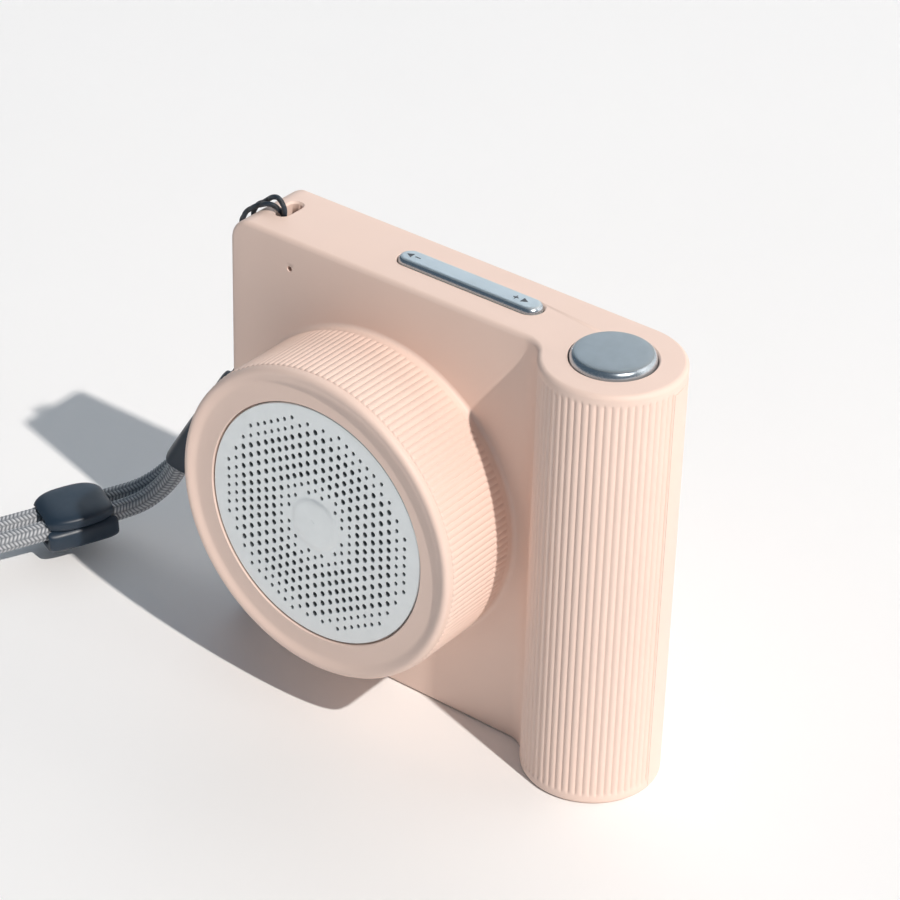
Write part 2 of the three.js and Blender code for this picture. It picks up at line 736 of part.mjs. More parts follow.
// Middle line of the strap from the cap to the far bend: x, y, z, half the distance between the
// strands, and the turn of the flat side from facing forwards (0) to facing up (90).
const STRAP_LINE = [
  [-72.75, 12.2, 21.6, 2.45, 82],
  [-74.8, 12.1, 18, 2.45, 83],
  [-77.1, 11.3, 14.8, 2.45, 84],
  [-79.6, 9.9, 11.8, 2.45, 86],
  [-82.1, 7.8, 9.6, 2.5, 88],
  [-84.6, 5, 8.4, 2.55, 90],
  [-87, 0.5, 8, 2.6, 90],
  [-89.4, -4.2, 7.7, 2.6, 90],
  [-92.2, -9.6, 7.35, 2.6, 90],
  [-95, -15, 7, 2.6, 90],
  [-98.2, -21.2, 6.6, 2.6, 90],
  [-101.6, -27, 5.6, 2.8, 90],
  [-106, -32, 4.2, 3.1, 90],
  [-111.8, -35.6, 3, 3.6, 90],
  [-118.6, -36.4, 2.4, 4.3, 90],
  [-125.2, -33.8, 2.3, 5.3, 90],
  [-130.2, -28.4, 2.3, 6.6, 90],
  [-133.2, -21, 2.3, 8.1, 90],
  [-134.8, -13, 2.3, 9.3, 90],
];
const CAP_TOP = new THREE.Vector3(-59.9, 11.65, 45.2);
const CAP_END = new THREE.Vector3(-72.4, 12.2, 22.2);
const SLIDER_AT = new THREE.Vector3(-89.4, -4.2, 7.7);
const STRAP_WAY = new THREE.Vector3(-0.459, -0.886, -0.061).normalize(); // the straight stretch
const BEND_STEPS = [30, 60, 90, 120, 150];

// Direction across the strands at one point of the middle line.
function acrossStrap(index) {
  const at = (i) => new THREE.Vector3(...STRAP_LINE[Math.min(Math.max(i, 0), STRAP_LINE.length - 1)]);
  const along = at(index + 1).sub(at(index - 1)).normalize();
  const turn = THREE.MathUtils.degToRad(STRAP_LINE[index][4]);
  const face = new THREE.Vector3(0, -Math.cos(turn), Math.sin(turn));
  return face.cross(along).normalize();
}

// One cord: out along one side of the middle line, round the far bend and back along the other.
function strapCord() {
  const side = (sign) =>
    STRAP_LINE.map(([x, y, z, half], i) =>
      new THREE.Vector3(x, y, z).addScaledVector(acrossStrap(i), sign * half),
    );
  const last = STRAP_LINE.length - 1;
  const [x, y, z, radius] = STRAP_LINE[last];
  const centre = new THREE.Vector3(x, y, z);
  const across = acrossStrap(last);
  const onward = across.clone().cross(new THREE.Vector3(0, 0, 1));
  const bend = BEND_STEPS.map((degrees) => {
    const a = THREE.MathUtils.degToRad(degrees);
    const point = centre.clone().addScaledVector(across, Math.cos(a) * radius);
    return point.addScaledVector(onward, Math.sin(a) * radius);
  });
  return [...side(1), ...bend, ...side(-1).reverse()].map((p) => p.toArray());
}

// Joins rings of points, all with the same count, into one closed solid.
function loft(rings) {
  const count = rings[0].length;
  const positions = rings.flat().flatMap((p) => p.toArray());
  const ends = [rings[0], rings[rings.length - 1]];
  ends.forEach((r) => {
    const middle = r.reduce((sum, p) => sum.add(p), new THREE.Vector3()).divideScalar(count);
    positions.push(...middle.toArray());
  });
  const firstEnd = rings.length * count;
  const index = [];
  for (let i = 0; i < count; i++) {
    const next = (i + 1) % count;
    for (let r = 0; r + 1 < rings.length; r++) {
      const a = r * count;
      const b = a + count;
      index.push(a + i, a + next, b + next, a + i, b + next, b + i);
    }
    const top = firstEnd - count;
    index.push(firstEnd, next, i, firstEnd + 1, top + i, top + next);
  }
  const geometry = new THREE.BufferGeometry();
  geometry.setAttribute("position", new THREE.Float32BufferAttribute(positions, 3));
  geometry.setIndex(index);
  return solidOf(geometry);
}

// A rounded oblong ring about `centre`, in the plane of `across` and `through`.
function oblong(centre, across, through, width, thickness, sides = 20) {
  const squareness = 0.55;
  const soften = (v) => Math.sign(v) * Math.abs(v) ** squareness;
  return Array.from({ length: sides }, (_, i) => {
    const a = (i / sides) * Math.PI * 2;
    const point = centre.clone().addScaledVector(across, (soften(Math.cos(a)) * width) / 2);
    return point.addScaledVector(through, (soften(Math.sin(a)) * thickness) / 2);
  });
}

function strapEndCap() {
  const along = CAP_END.clone().sub(CAP_TOP);
  const across = acrossStrap(0);
  const through = along.clone().cross(across).normalize();
  const sections = [
    [0, 3.4, 2.6],
    [0.02, 4.2, 3.2],
    [0.35, 6.2, 4.2],
    [0.7, 9.6, 5.6],
    [0.96, 12.1, 6.6],
    [1, 11.5, 6.1],
  ];
  return loft(
    sections.map(([t, width, thickness]) =>
      oblong(CAP_TOP.clone().addScaledVector(along, t), across, through, width, thickness),
    ),
  );
}

function strapSlider() {
  const up = new THREE.Vector3(0, 0, 1);
  const across = up.clone().cross(STRAP_WAY).normalize();
  const through = STRAP_WAY.clone().cross(across);
  const ringAt = (t, width, thickness) =>
    oblong(SLIDER_AT.clone().addScaledVector(STRAP_WAY, t), across, through, width, thickness);
  const half = SLIDER_L / 2;
  const body = loft([
    ringAt(-half, SLIDER_W - 2, SLIDER_T - 1.6),
    ringAt(-half + 0.8, SLIDER_W - 0.4, SLIDER_T - 0.5),
    ringAt(-half + 2.5, SLIDER_W, SLIDER_T),
    ringAt(half - 2.5, SLIDER_W, SLIDER_T),
    ringAt(half - 0.8, SLIDER_W - 0.4, SLIDER_T - 0.5),
    ringAt(half, SLIDER_W - 2, SLIDER_T - 1.6),
  ]);
  const bores = [-1, 1].map((sign) => {
    const start = SLIDER_AT.clone().addScaledVector(across, sign * STRAND);
    const from = start.clone().addScaledVector(STRAP_WAY, -half - 1);
    const to = start.clone().addScaledVector(STRAP_WAY, half + 1);
    return tube([from.toArray(), to.toArray()], BRAID_D + 4 * GAP, 1, 12);
  });
  return cutBy(body, bores);
}

// ---- The assembly -----------------------------------------------------------------------------
const shellPaint = () => finish(SHELL_PINK, 0.55);
const steel = (color = STEEL) => finish(color, 0.35, 1);
const blackPlastic = () => finish(0x222326, 0.6);

addPiece("front_shell", frontShell(), shellPaint());
addPiece("rear_cover", rearCover(), shellPaint());
addPiece("barrel_tube", barrelTube(), shellPaint());
addPiece("barrel_sleeve", barrelSleeve(), shellPaint());
addPiece("front_ring", frontRing(), shellPaint());
addPiece("grille", grille(), finish(0xcbd4d7, 0.4, 1));
addPiece("dust_mesh", ring(0, 23.9, -16.55, -16.2, 32), finish(0x17181a, 0.9));

addPiece("driver_basket", driverBasket(), finish(0x2b2d30, 0.5, 1));
addPiece("driver_gasket", ring(23.7, 26.4, -11, -10.4), finish(0x3a3a3c, 0.95));
addPiece("driver_top_plate", ring(5.75, 11.5, 0, 2.5), steel());
addPiece("driver_magnet", ring(7.2, 12.5, 2.8, 7), finish(0x303236, 0.7));
addPiece("driver_yoke", driverYoke(), steel());
addPiece("voice_coil", ring(4.9, 5.3, -5.5, 3), finish(0xb87333, 0.4, 1));
addPiece("driver_cone", cone(), finish(0x1b1b1d, 0.85));
addPiece("driver_dust_cap", dustCap(), finish(0x141416, 0.6));
addPiece("driver_surround", surround(), finish(0x1a1a1a, 0.8));
addPiece("driver_spider", spider(), finish(0xc59a4e, 0.9));
addPiece("driver_terminal", box(BARREL_X - 6, BARREL_X + 6, -0.9, 0.9, 59.9, 62.2), finish(0x5a3d24, 0.7));

addPiece("power_button", powerButton(), steel());
addPiece("volume_rocker", volumeRocker(), steel());
SWITCHES.forEach(([name, x, y]) => {
  addPiece(name + "_body", switchHousing(x, y), blackPlastic());
  addPiece(name + "_plunger", switchPlunger(x, y), finish(0xd9d5c9, 0.6));
});

addPiece("key_board", keyBoard(), finish(0x1f5a3c, 0.5));
KEY_SCREWS.forEach((x, i) => addPiece(`key_board_screw_${i + 1}`, keyScrew(x), steel()));
addPiece("main_board", mainBoard(), finish(0x1f5a3c, 0.5));
MAIN_SCREWS.forEach((at, i) => addPiece(`main_board_screw_${i + 1}`, mainScrew(at), steel()));
ON_BOARD.forEach(([name, x, z, w, h, t, color]) =>
  addPiece(name, boardPart(x, z, w, h, t), finish(color, 0.45)),
);
addPiece("usb_c_socket", usbSocket(), steel());
addPiece("key_ribbon", keyRibbon(), finish(0xb57a2c, 0.5));
addPiece("microphone", rodY(MIC_X, MIC_Z, MIC_Y + 1.5, MIC_Y + 4.6, 2.05, 20), steel());
addPiece("microphone_boot", microphoneBoot(), finish(0x161616, 0.9));

addPiece("battery_cell", batteryCell(), finish(0x3d5a86, 0.4));
addPiece("battery_clip_lower", batteryClip(12), blackPlastic());
addPiece("battery_clip_upper", batteryClip(56), blackPlastic());
addPiece("battery_foam_pad", rodZ(GRIP_X, GRIP_Y, WALL + GAP, CELL_Z - GAP, 7.6), finish(0x2a2a2a, 0.95));
Object.entries(LEADS).forEach(([name, points]) =>
  addPiece(name, tube(points, 1, 14, 6), finish(name.endsWith("red") ? 0xb3202a : 0x151515, 0.5)),
);
COVER_SCREWS.forEach((at, i) => addPiece(`cover_screw_${i + 1}`, coverScrew(at), steel()));

addPiece("strap_thin_cord", tube(THIN_CORD, THIN_D, 56, 8), finish(NAVY, 0.85));
addPiece("strap_end_cap", strapEndCap(), finish(NAVY, 0.5));
addPiece("strap_braid", tube(strapCord(), BRAID_D, 52, 8), finish(0xa3a9ad, 0.8));
addPiece("strap_slider", strapSlider(), finish(NAVY, 0.5));

export default assembly;
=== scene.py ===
"""A camera-shaped portable speaker with a wrist strap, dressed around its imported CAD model."""
import json
import math
from functools import partial

import bmesh
import bpy
import numpy as np
from mathutils import Matrix, Vector


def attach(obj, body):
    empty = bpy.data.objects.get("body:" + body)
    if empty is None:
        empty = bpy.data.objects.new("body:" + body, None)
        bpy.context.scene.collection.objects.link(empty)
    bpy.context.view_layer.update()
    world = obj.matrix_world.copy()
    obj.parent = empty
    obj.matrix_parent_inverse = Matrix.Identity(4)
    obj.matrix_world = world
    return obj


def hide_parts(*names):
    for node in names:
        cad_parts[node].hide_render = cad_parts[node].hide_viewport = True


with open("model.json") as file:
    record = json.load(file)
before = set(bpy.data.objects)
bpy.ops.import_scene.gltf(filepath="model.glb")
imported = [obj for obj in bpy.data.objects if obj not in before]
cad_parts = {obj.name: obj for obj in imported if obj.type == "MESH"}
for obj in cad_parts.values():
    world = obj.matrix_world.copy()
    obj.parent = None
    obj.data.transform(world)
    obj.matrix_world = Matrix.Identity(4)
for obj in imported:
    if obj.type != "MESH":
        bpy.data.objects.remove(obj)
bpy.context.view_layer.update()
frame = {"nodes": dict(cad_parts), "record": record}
NODES = frame["nodes"]
MM = 0.001

# ---- Driving dimensions, in millimetres ----------------------------------------------------
LEFT, RIGHT = -50.0, 50.0
HEIGHT = 90.0
BACK = 18.75
SLAB_FRONT = 1.25
SLAB_MID = (SLAB_FRONT + BACK) / 2
WALL, TOP_WALL = 2.0, 2.5
GRIP_X, GRIP_Y, GRIP_R = 36.5, 5.25, 13.5
BLEND_R = 6.0  # hollow fillet between the slab and the grip
CORNER_R = 5.0  # left corners, seen from the front
PLAN_R = 1.0  # rounding of the left side's upright edges
EDGE_R = 1.0  # rounding of the top and bottom edges
EDGE_MOST = 0.97  # the most it draws in, so that the upright edges keep a small radius at the very end
LEFT_END = 10.0  # the stretch at the left over which the upper and lower corners are drawn in
FLUTE_PITCH = math.radians(5.86)
FLUTE_DEPTH = 0.36
FLUTE_END = 2.2  # plain band above and below the flutes
FLUTE_ROUND = 0.6  # below 1 makes the flutes broad and the grooves between them narrow
SEAM_GAP = 0.14
COVER_T = 2.25
COVER_SPLIT_X = 24.0
SCREWS = [(-44.5, 7.5), (-44.5, 68.0), (20.0, 7.5), (20.0, 72.0)]

BARREL_X, BARREL_Z = -13.0, 45.0
TUBE_IN, TUBE_OUT, NECK_R, ROOT_R, LEDGE_IN = 27.2, 29.2, 32.3, 33.2, 23.6
RIB_R, RIB_DEPTH, RIBS = 32.5, 0.24, 150
HOLE_PITCH, HOLE, SMALL_HOLE = 2.154, 1.02, 0.72
PLAIN_MIDDLE, PLAIN_RIM = 3.4, 22.3  # no holes within so many pitches, or beyond so many millimetres
PULL, PULL_REACH = 0.61, 4.6  # the grid's six sides are drawn in by PULL beyond PULL_REACH

BUTTON_R, BUTTON_HOLE_R = 7.95, 8.15
BUTTON_SATIN_R = 7.1  # the satin top; the edge beyond it is polished, and its steel's lighter, bluer colour is painted reflection
ROCKER_X, ROCKER_L, ROCKER_W = 0.8, 32.4, 4.9
ROCKER_GAP = 0.28
ROCKER_EDGE = (89.9, 90.7)  # the polished band round its top, whose lighter, bluer colour is painted reflection
EYELET_X, EYELET_Y, EYELET_Z = (-44.4, -41.6), (7.2, 13.6), (79.0, 82.6)
USB_Y, USB_Z = 14.13, 22.0
USB_HALF_Y, USB_HALF_Z = 2.05, 4.95
MIC_AT = (-35.2, 83.6)

STRAND = 2.6  # each strand's distance from the strap's middle line
BRAID_D, THIN_D = 4.4, 1.1
BORE_R = 2.42
BRAID_COLUMNS, STITCH_PITCH, STITCH_SLANT, STITCH_HEIGHT = 10, 0.87, 0.8, 0.22
STITCH_CROWN = 1.9  # how steeply a stitch falls away towards the sides of its column
PLY_PITCH = 3.2
SLIDER_AT = np.array([-89.4, -4.2, 7.7])
SLIDER_WAY = np.array([-0.459, -0.886, -0.061]) / np.linalg.norm([-0.459, -0.886, -0.061])
SLIDER_L, SLIDER_W = 15.2, 13.6
CAP_TOP = np.array([-59.9, 11.65, 45.2])
CAP_END = np.array([-72.4, 12.2, 22.2])

# Thin cord: from the cap up the left side, twice round the corner bridge, and back to the cap.
THIN_CORD = [
    (-59.65, 10.9, 45.45), (-57.2, 10.9, 48.9), (-55.4, 10.9, 52.8), (-53.9, 10.8, 59.5), (-52.6, 10.6, 69),
    (-51.6, 10.5, 78), (-51.5, 10.2, 83), (-51.4, 9.8, 86.3), (-50.2, 9.3, 88.6), (-48.3, 8.8, 90.2),
    (-46.7, 8.4, 91.4), (-45.2, 8.1, 92.7), (-43.7, 8, 93), (-42.4, 8.1, 91.8), (-42.3, 8.2, 89.8),
    (-42.5, 8.3, 87.2),
    (-42.8, 8.5, 84.4), (-43.6, 8.8, 82), (-45.4, 9.1, 80.6), (-48, 9.2, 80.3), (-50.6, 8.8, 80.8),
    (-52.2, 8.1, 82.6), (-52.3, 7.4, 85), (-51.3, 6.9, 87.2), (-49.6, 6.7, 89.2), (-47.6, 6.8, 90.6),
    (-45.6, 7.1, 91.5), (-44, 7.8, 91.1), (-43.4, 8.9, 89.4), (-43.3, 10, 87), (-43.3, 11, 84.4),
    (-43.9, 11.8, 82), (-45.6, 12.3, 80.5), (-48.2, 12.4, 80.4), (-50.3, 12.4, 80.1),
    (-51.6, 12.4, 78.6), (-52, 12.4, 76), (-52.7, 12.4, 69), (-54, 12.4, 60), (-55.5, 12.4, 52.8),
    (-57.3, 12.4, 48.9), (-59.65, 12.4, 45.5),
]

# Middle line of the strap: x, y, z, half the distance between the strands, turn of its flat side.
STRAP_LINE = [
    (-72.75, 12.2, 21.6, 2.45, 82), (-74.8, 12.1, 18, 2.45, 83), (-77.1, 11.3, 14.8, 2.45, 84),
    (-79.6, 9.9, 11.8, 2.45, 86), (-82.1, 7.8, 9.6, 2.5, 88), (-84.6, 5, 8.4, 2.55, 90),
    (-87, 0.5, 8, 2.6, 90), (-89.4, -4.2, 7.7, 2.6, 90), (-92.2, -9.6, 7.35, 2.6, 90),
    (-95, -15, 7, 2.6, 90), (-98.2, -21.2, 6.6, 2.6, 90), (-101.6, -27, 5.6, 2.8, 90),
    (-106, -32, 4.2, 3.1, 90), (-111.8, -35.6, 3, 3.6, 90), (-118.6, -36.4, 2.4, 4.3, 90),
    (-125.2, -33.8, 2.3, 5.3, 90), (-130.2, -28.4, 2.3, 6.6, 90), (-133.2, -21, 2.3, 8.1, 90),
    (-134.8, -13, 2.3, 9.3, 90),
]
BEND_STEPS = (30, 60, 90, 120, 150)  # degrees round the far bend


# ---- Camera ---------------------------------------------------------------------------------
def aim_camera(azimuth, elevation, roll, distance, target, lens):
    """Angles in degrees, with azimuth 0 in front of the object; metres, and millimetres for the lens."""
    a, e, r = map(math.radians, (azimuth, elevation, roll))
    back = Vector((math.sin(a) * math.cos(e), -math.cos(a) * math.cos(e), math.sin(e)))
    level = Vector((math.cos(a), math.sin(a), 0))
    rise = back.cross(level)
    right = level * math.cos(r) + rise * math.sin(r)
    up = rise * math.cos(r) - level * math.sin(r)
    data = bpy.data.cameras.new("camera")
    data.lens, data.sensor_width = lens, 36
    data.clip_start, data.clip_end = 0.02, 50
    camera = bpy.data.objects.new("camera", data)
    bpy.context.scene.collection.objects.link(camera)
    camera.matrix_world = Matrix.Translation(target + back * distance) @ Matrix(
        (right, up, back)
    ).transposed().to_4x4()
    bpy.context.scene.camera = camera


aim_camera(
    azimuth=37.01, elevation=32.39, roll=1.64, distance=0.62309,
    target=Vector((-0.0052, 0.0133, 0.04965)), lens=130.03,
)


# ---- Materials ------------------------------------------------------------------------------
def new_material(name):
    """A material with its nodes, its links and its shader."""
    material = bpy.data.materials.new(name)
    material.use_nodes = True
    nodes, links = material.node_tree.nodes, material.node_tree.links
    return material, nodes, links, nodes["Principled BSDF"]


def noise(nodes, links, coord, size_mm, detail=3.0, rough=0.55):
    tex = nodes.new("ShaderNodeTexNoise")
    tex.inputs["Scale"].default_value = 1.0 / (size_mm * MM)
    tex.inputs["Detail"].default_value = detail
    tex.inputs["Roughness"].default_value = rough
    links.new(coord, tex.inputs["Vector"])
    return tex.outputs["Fac"]


def ranged(nodes, links, value, low, high, from_low=0.3, from_high=0.7):
    """Spreads a noise's middle values over low to high."""
    node = nodes.new("ShaderNodeMapRange")
    node.inputs["From Min"].default_value = from_low
    node.inputs["From Max"].default_value = from_high
    node.inputs["To Min"].default_value = low
    node.inputs["To Max"].default_value = high
    links.new(value, node.inputs["Value"])
    return node.outputs["Result"]


def mixed(nodes, links, factor, dark, light):
    node = nodes.new("ShaderNodeMix")
    node.data_type = "RGBA"
    node.inputs["A"].default_value = (*dark, 1)
    node.inputs["B"].default_value = (*light, 1)
    links.new(factor, node.inputs["Factor"])
    return node.outputs["Result"]


def bumped(nodes, links, shader, height, strength, distance_mm):
    node = nodes.new("ShaderNodeBump")
    node.inputs["Strength"].default_value = strength
    node.inputs["Distance"].default_value = distance_mm * MM
    links.new(height, node.inputs["Height"])
    links.new(node.outputs["Normal"], shader.inputs["Normal"])


def finish(name, colour, rough, metal=0.0, grain_mm=0.25, grain=0.15, tint=0.05, mottle_mm=9.0, **sockets):
    """A finish with slow colour drift, uneven gloss and a fine surface grain."""
    material, nodes, links, shader = new_material(name)
    coord = nodes.new("ShaderNodeTexCoord").outputs["Object"]
    drift = noise(nodes, links, coord, mottle_mm)
    dark = [c * (1 - tint) for c in colour]
    light = [min(1, c * (1 + tint)) for c in colour]
    share = ranged(nodes, links, drift, 0, 1)
    links.new(mixed(nodes, links, share, dark, light), shader.inputs["Base Color"])
    patch = noise(nodes, links, coord, mottle_mm / 3)
    links.new(ranged(nodes, links, patch, rough * 0.9, min(1, rough * 1.1)), shader.inputs["Roughness"])
    bumped(nodes, links, shader, noise(nodes, links, coord, grain_mm, 2.0), grain, 0.05)
    shader.inputs["Metallic"].default_value = metal
    for socket, value in sockets.items():
        shader.inputs[socket.replace("_", " ")].default_value = value
    return material


PINK = (0.87, 0.67, 0.578)
NAVY = (0.016, 0.032, 0.054)
SLOTS = {
    "shell": finish("soft_touch_pink", PINK, 0.52, grain_mm=0.18, grain=0.12, tint=0.02, mottle_mm=30),
    "grille_metal": finish("satin_aluminium", (0.76, 0.80, 0.815), 0.42, 0.9, 0.08, 0.25, 0.02, 4),
    "mesh_cloth": finish("acoustic_mesh", (0.012, 0.012, 0.014), 0.9, 0, 0.3, 0.6),
    "basket_paint": finish("black_powder_paint", (0.03, 0.032, 0.035), 0.55, 0.2, 0.4, 0.4),
    "foam": finish("closed_cell_foam", (0.06, 0.06, 0.06), 0.95, 0, 0.5, 0.6),
    "plated_steel": finish("plated_steel", (0.55, 0.56, 0.57), 0.3, 1.0, 0.3, 0.1),
    "ferrite": finish("ferrite", (0.05, 0.05, 0.055), 0.6, 0.2, 0.4, 0.3),
    "copper": finish("enamelled_copper", (0.6, 0.27, 0.12), 0.3, 1.0, 0.2, 0.4),
    "paper_cone": finish("pulp_cone", (0.02, 0.02, 0.022), 0.85, 0, 0.6, 0.5),
    "soft_rubber": finish("soft_rubber", (0.018, 0.018, 0.018), 0.75, 0, 0.4, 0.2),
    "resin_cloth": finish("resin_cloth", (0.48, 0.3, 0.1), 0.8, 0, 0.5, 0.6, 0.12),
    "brown_laminate": finish("brown_laminate", (0.14, 0.07, 0.03), 0.6, 0, 0.5, 0.2, 0.15),
    "key_metal": finish("satin_steel", (0.43, 0.47, 0.49), 0.46, 1.0, 0.1, 0.12, 0.02, 5),
    "black_plastic": finish("black_plastic", (0.02, 0.02, 0.022), 0.5, 0, 0.3, 0.15),
    "chip_black": finish("chip_epoxy", (0.012, 0.012, 0.013), 0.6, 0, 0.15, 0.2),
    "ivory_plastic": finish("ivory_plastic", (0.66, 0.6, 0.47), 0.45, 0, 0.3, 0.1),
    "circuit_board": finish("solder_mask", (0.015, 0.11, 0.045), 0.35, 0, 0.8, 0.2, 0.15, 3),
    "amber_film": finish("amber_film", (0.45, 0.17, 0.03), 0.3, 0, 0.8, 0.1, 0.1),
    "cell_can": finish("cell_wrap", (0.04, 0.09, 0.22), 0.35, 0.1, 0.8, 0.1),
    "lead_red": finish("red_lead", (0.4, 0.012, 0.015), 0.5, 0, 0.3, 0.1),
    "lead_black": finish("black_lead", (0.015, 0.015, 0.015), 0.5, 0, 0.3, 0.1),
    "navy_plastic": finish("navy_plastic", NAVY, 0.42, 0, 0.2, 0.12, 0.06, 6),
}
# Polished steel: its low roughness is the real polish; its colour, lighter and bluer than the satin steel,
# is painted reflection.
POLISHED_PAINTED_REFLECTION = finish("polished_steel_painted_reflection", (0.56, 0.63, 0.69), 0.26, 1.0, 0.5, 0.02, 0.02, 6)
# A lighter copy of the satin steel for the volume key's bar: the extra brightness is painted light.
LIT_BAR_STEEL = finish("satin_steel_bar_painted_light", (0.68, 0.74, 0.76), 0.46, 1.0, 0.1, 0.12, 0.02, 5)
PRINT = finish("dark_print", (0.06, 0.07, 0.08), 0.5, 0, 0.2, 0.05)


def calc(nodes, links, operation, first, second=0.0):
    """Arithmetic on numbers or sockets, as a Math node."""
    node = nodes.new("ShaderNodeMath")
    node.operation = operation
    for socket, value in zip(node.inputs, (first, second)):
        if isinstance(value, (int, float)):
            socket.default_value = value
        else:
            links.new(value, socket)
    return node.outputs["Value"]


def plait_height(nodes, links, distance, turn):
    """Stitches in columns that lean towards each other in pairs, as in braid_surface."""
    maths = partial(calc, nodes, links)
    column = maths("MULTIPLY", turn, BRAID_COLUMNS)
    within = maths("SUBTRACT", maths("FRACT", column), 0.5)
    odd = maths("FLOORED_MODULO", maths("FLOOR", column), 2)
    lean = maths("SUBTRACT", 1.0, maths("MULTIPLY", odd, 2.0))
    slant = maths("MULTIPLY", maths("MULTIPLY", within, lean), STITCH_SLANT)
    phase = maths("ADD", maths("DIVIDE", distance, STITCH_PITCH), slant)
    wave = maths("ABSOLUTE", maths("SINE", maths("MULTIPLY", phase, math.pi)))
    across = maths("POWER", maths("MULTIPLY", within, STITCH_CROWN), 2)
    crown = maths("SQRT", maths("MAXIMUM", maths("SUBTRACT", 1.0, across), 0.0))
    return maths("MULTIPLY", wave, crown)


def twist_height(nodes, links, distance, turn):
    """Two plies twisted round each other, as in ply_surface."""
    maths = partial(calc, nodes, links)
    phase = maths("ADD", turn, maths("DIVIDE", distance, PLY_PITCH))
    return maths("ABSOLUTE", maths("COSINE", maths("MULTIPLY", phase, math.pi)))


def yarn(name, height_of, groove, lit_crest, rough, contrast):
    """Yarn coloured by its own weave, with painted shade in its grooves and a painted highlight on its
    crests; the weave is laid out along and round the cord by the `yarn` UV map.
    """
    material, nodes, links, shader = new_material(name)
    layout = nodes.new("ShaderNodeUVMap")
    layout.uv_map = "yarn"
    split = nodes.new("ShaderNodeSeparateXYZ")
    links.new(layout.outputs["UV"], split.inputs["Vector"])
    height = height_of(nodes, links, split.outputs["X"], split.outputs["Y"])
    fibre = noise(nodes, links, nodes.new("ShaderNodeTexCoord").outputs["Object"], 0.1, 2.0)
    # Painted light: the groove colour is painted shade in the weave's grooves, and the crest colour carries
    # a painted highlight.
    painted_light_share = calc(nodes, links, "POWER", height, contrast)
    share = calc(nodes, links, "MULTIPLY", painted_light_share, ranged(nodes, links, fibre, 0.7, 1.1))
    links.new(mixed(nodes, links, share, groove, lit_crest), shader.inputs["Base Color"])
    bumped(nodes, links, shader, height, strength=0.5, distance_mm=0.12)
    links.new(ranged(nodes, links, fibre, rough * 0.85, rough * 1.1), shader.inputs["Roughness"])
    shader.inputs["Sheen Weight"].default_value = 0.08
    return material


# The groove colours are painted shade. The braid's pale crest is its stitches' own light grey with a painted
# highlight on top; the cord's crest is its own navy.
SLOTS["silver_braid"] = yarn(
    "silver_braid", plait_height, (0.15, 0.165, 0.185), (0.64, 0.66, 0.69), rough=0.42, contrast=1.5
)
SLOTS["navy_cord"] = yarn(
    "navy_cord", twist_height, (0.004, 0.008, 0.013), (0.02, 0.034, 0.052), rough=0.55, contrast=1.0
)


# ---- Mesh making ----------------------------------------------------------------------------
def mesh_object(name, points_mm, faces, materials=(), sharp=35.0):
    """A mesh in the scene; its edges are sharp where they turn by more than `sharp` degrees."""
    mesh = bpy.data.meshes.new(name)
    mesh.from_pydata((np.asarray(points_mm, float) * MM).tolist(), [], [list(map(int, f)) for f in faces])
    obj = bpy.data.objects.new(name, mesh)
    bpy.context.scene.collection.objects.link(obj)
    for material in materials:
        mesh.materials.append(material)
    return shade(obj, sharp)


def shade(obj, sharp=35.0):
    obj.data.validate()
    obj.data.shade_smooth()
    obj.data.set_sharp_from_angle(angle=math.radians(sharp))
    return obj


def grid_faces(rings, count, closed_rings=False):
    """Quads between consecutive rings of `count` points."""
    faces = []
    for r in range(rings if closed_rings else rings - 1):
        a, b = r * count, ((r + 1) % rings) * count
        for i in range(count):
            j = (i + 1) % count
            faces.append((a + i, a + j, b + j, b + i))
    return faces


def loft(name, rings, materials=(), sharp=35.0):
    """A closed solid through rings of points, with flat ends."""
    rings = [np.asarray(r, float) for r in rings]
    count = len(rings[0])
    faces = grid_faces(len(rings), count)
    faces.append(tuple(range(count))[::-1])
    faces.append(tuple(range((len(rings) - 1) * count, len(rings) * count)))
    return mesh_object(name, np.concatenate(rings), faces, materials, sharp)


def turned(name, profile, centre, axis, segments, materials=(), sharp=35.0):
    """Turns a closed profile of (radius, along) points about an upright or a front-to-back axis.

    Along the profile the solid lies on the left, so that the faces look outwards."""
    spin = np.linspace(0, 2 * math.pi, segments, endpoint=False)
    rings = []
    for radius, along in profile:
        radius = max(radius, 0.002)
        x, w = np.cos(spin) * radius, np.sin(spin) * radius
        if axis == "y":
            ring = np.stack([centre[0] + x, np.full_like(x, along), centre[1] + w], 1)
        else:
            ring = np.stack([centre[0] + x, centre[1] + w, np.full_like(x, along)], 1)
        rings.append(ring)
    on_axis = profile[0][0] == 0
    faces = grid_faces(len(rings), segments, closed_rings=not on_axis)
    if on_axis:
        last = (len(rings) - 1) * segments
        faces.append(tuple(range(segments))[::-1])
        faces.append(tuple(range(last, last + segments)))
    obj = mesh_object(name, np.concatenate(rings), faces, materials, sharp)
    return face_outwards(obj, sharp)


def face_outwards(obj, sharp=35.0):
    """Turns a closed mesh's faces outwards, whatever order its points were given in."""
    mesh = obj.data
    mesh.calc_loop_triangles()
    co = np.array([v.co for v in mesh.vertices])
    tri = np.array([t.vertices for t in mesh.loop_triangles])
    a, b, c = co[tri[:, 0]], co[tri[:, 1]], co[tri[:, 2]]
    if np.einsum("ij,ij->i", a, np.cross(b, c)).sum() < 0:
        mesh.flip_normals()
    return shade(obj, sharp)


def check_closed(obj):
    """A boolean leaves an open mesh as it is without a word, so an open one is an error here."""
    work = bmesh.new()
    work.from_mesh(obj.data)
    closed = all(edge.is_manifold for edge in work.edges)
    work.free()
    if not closed:
        raise ValueError(obj.name + " is not closed")


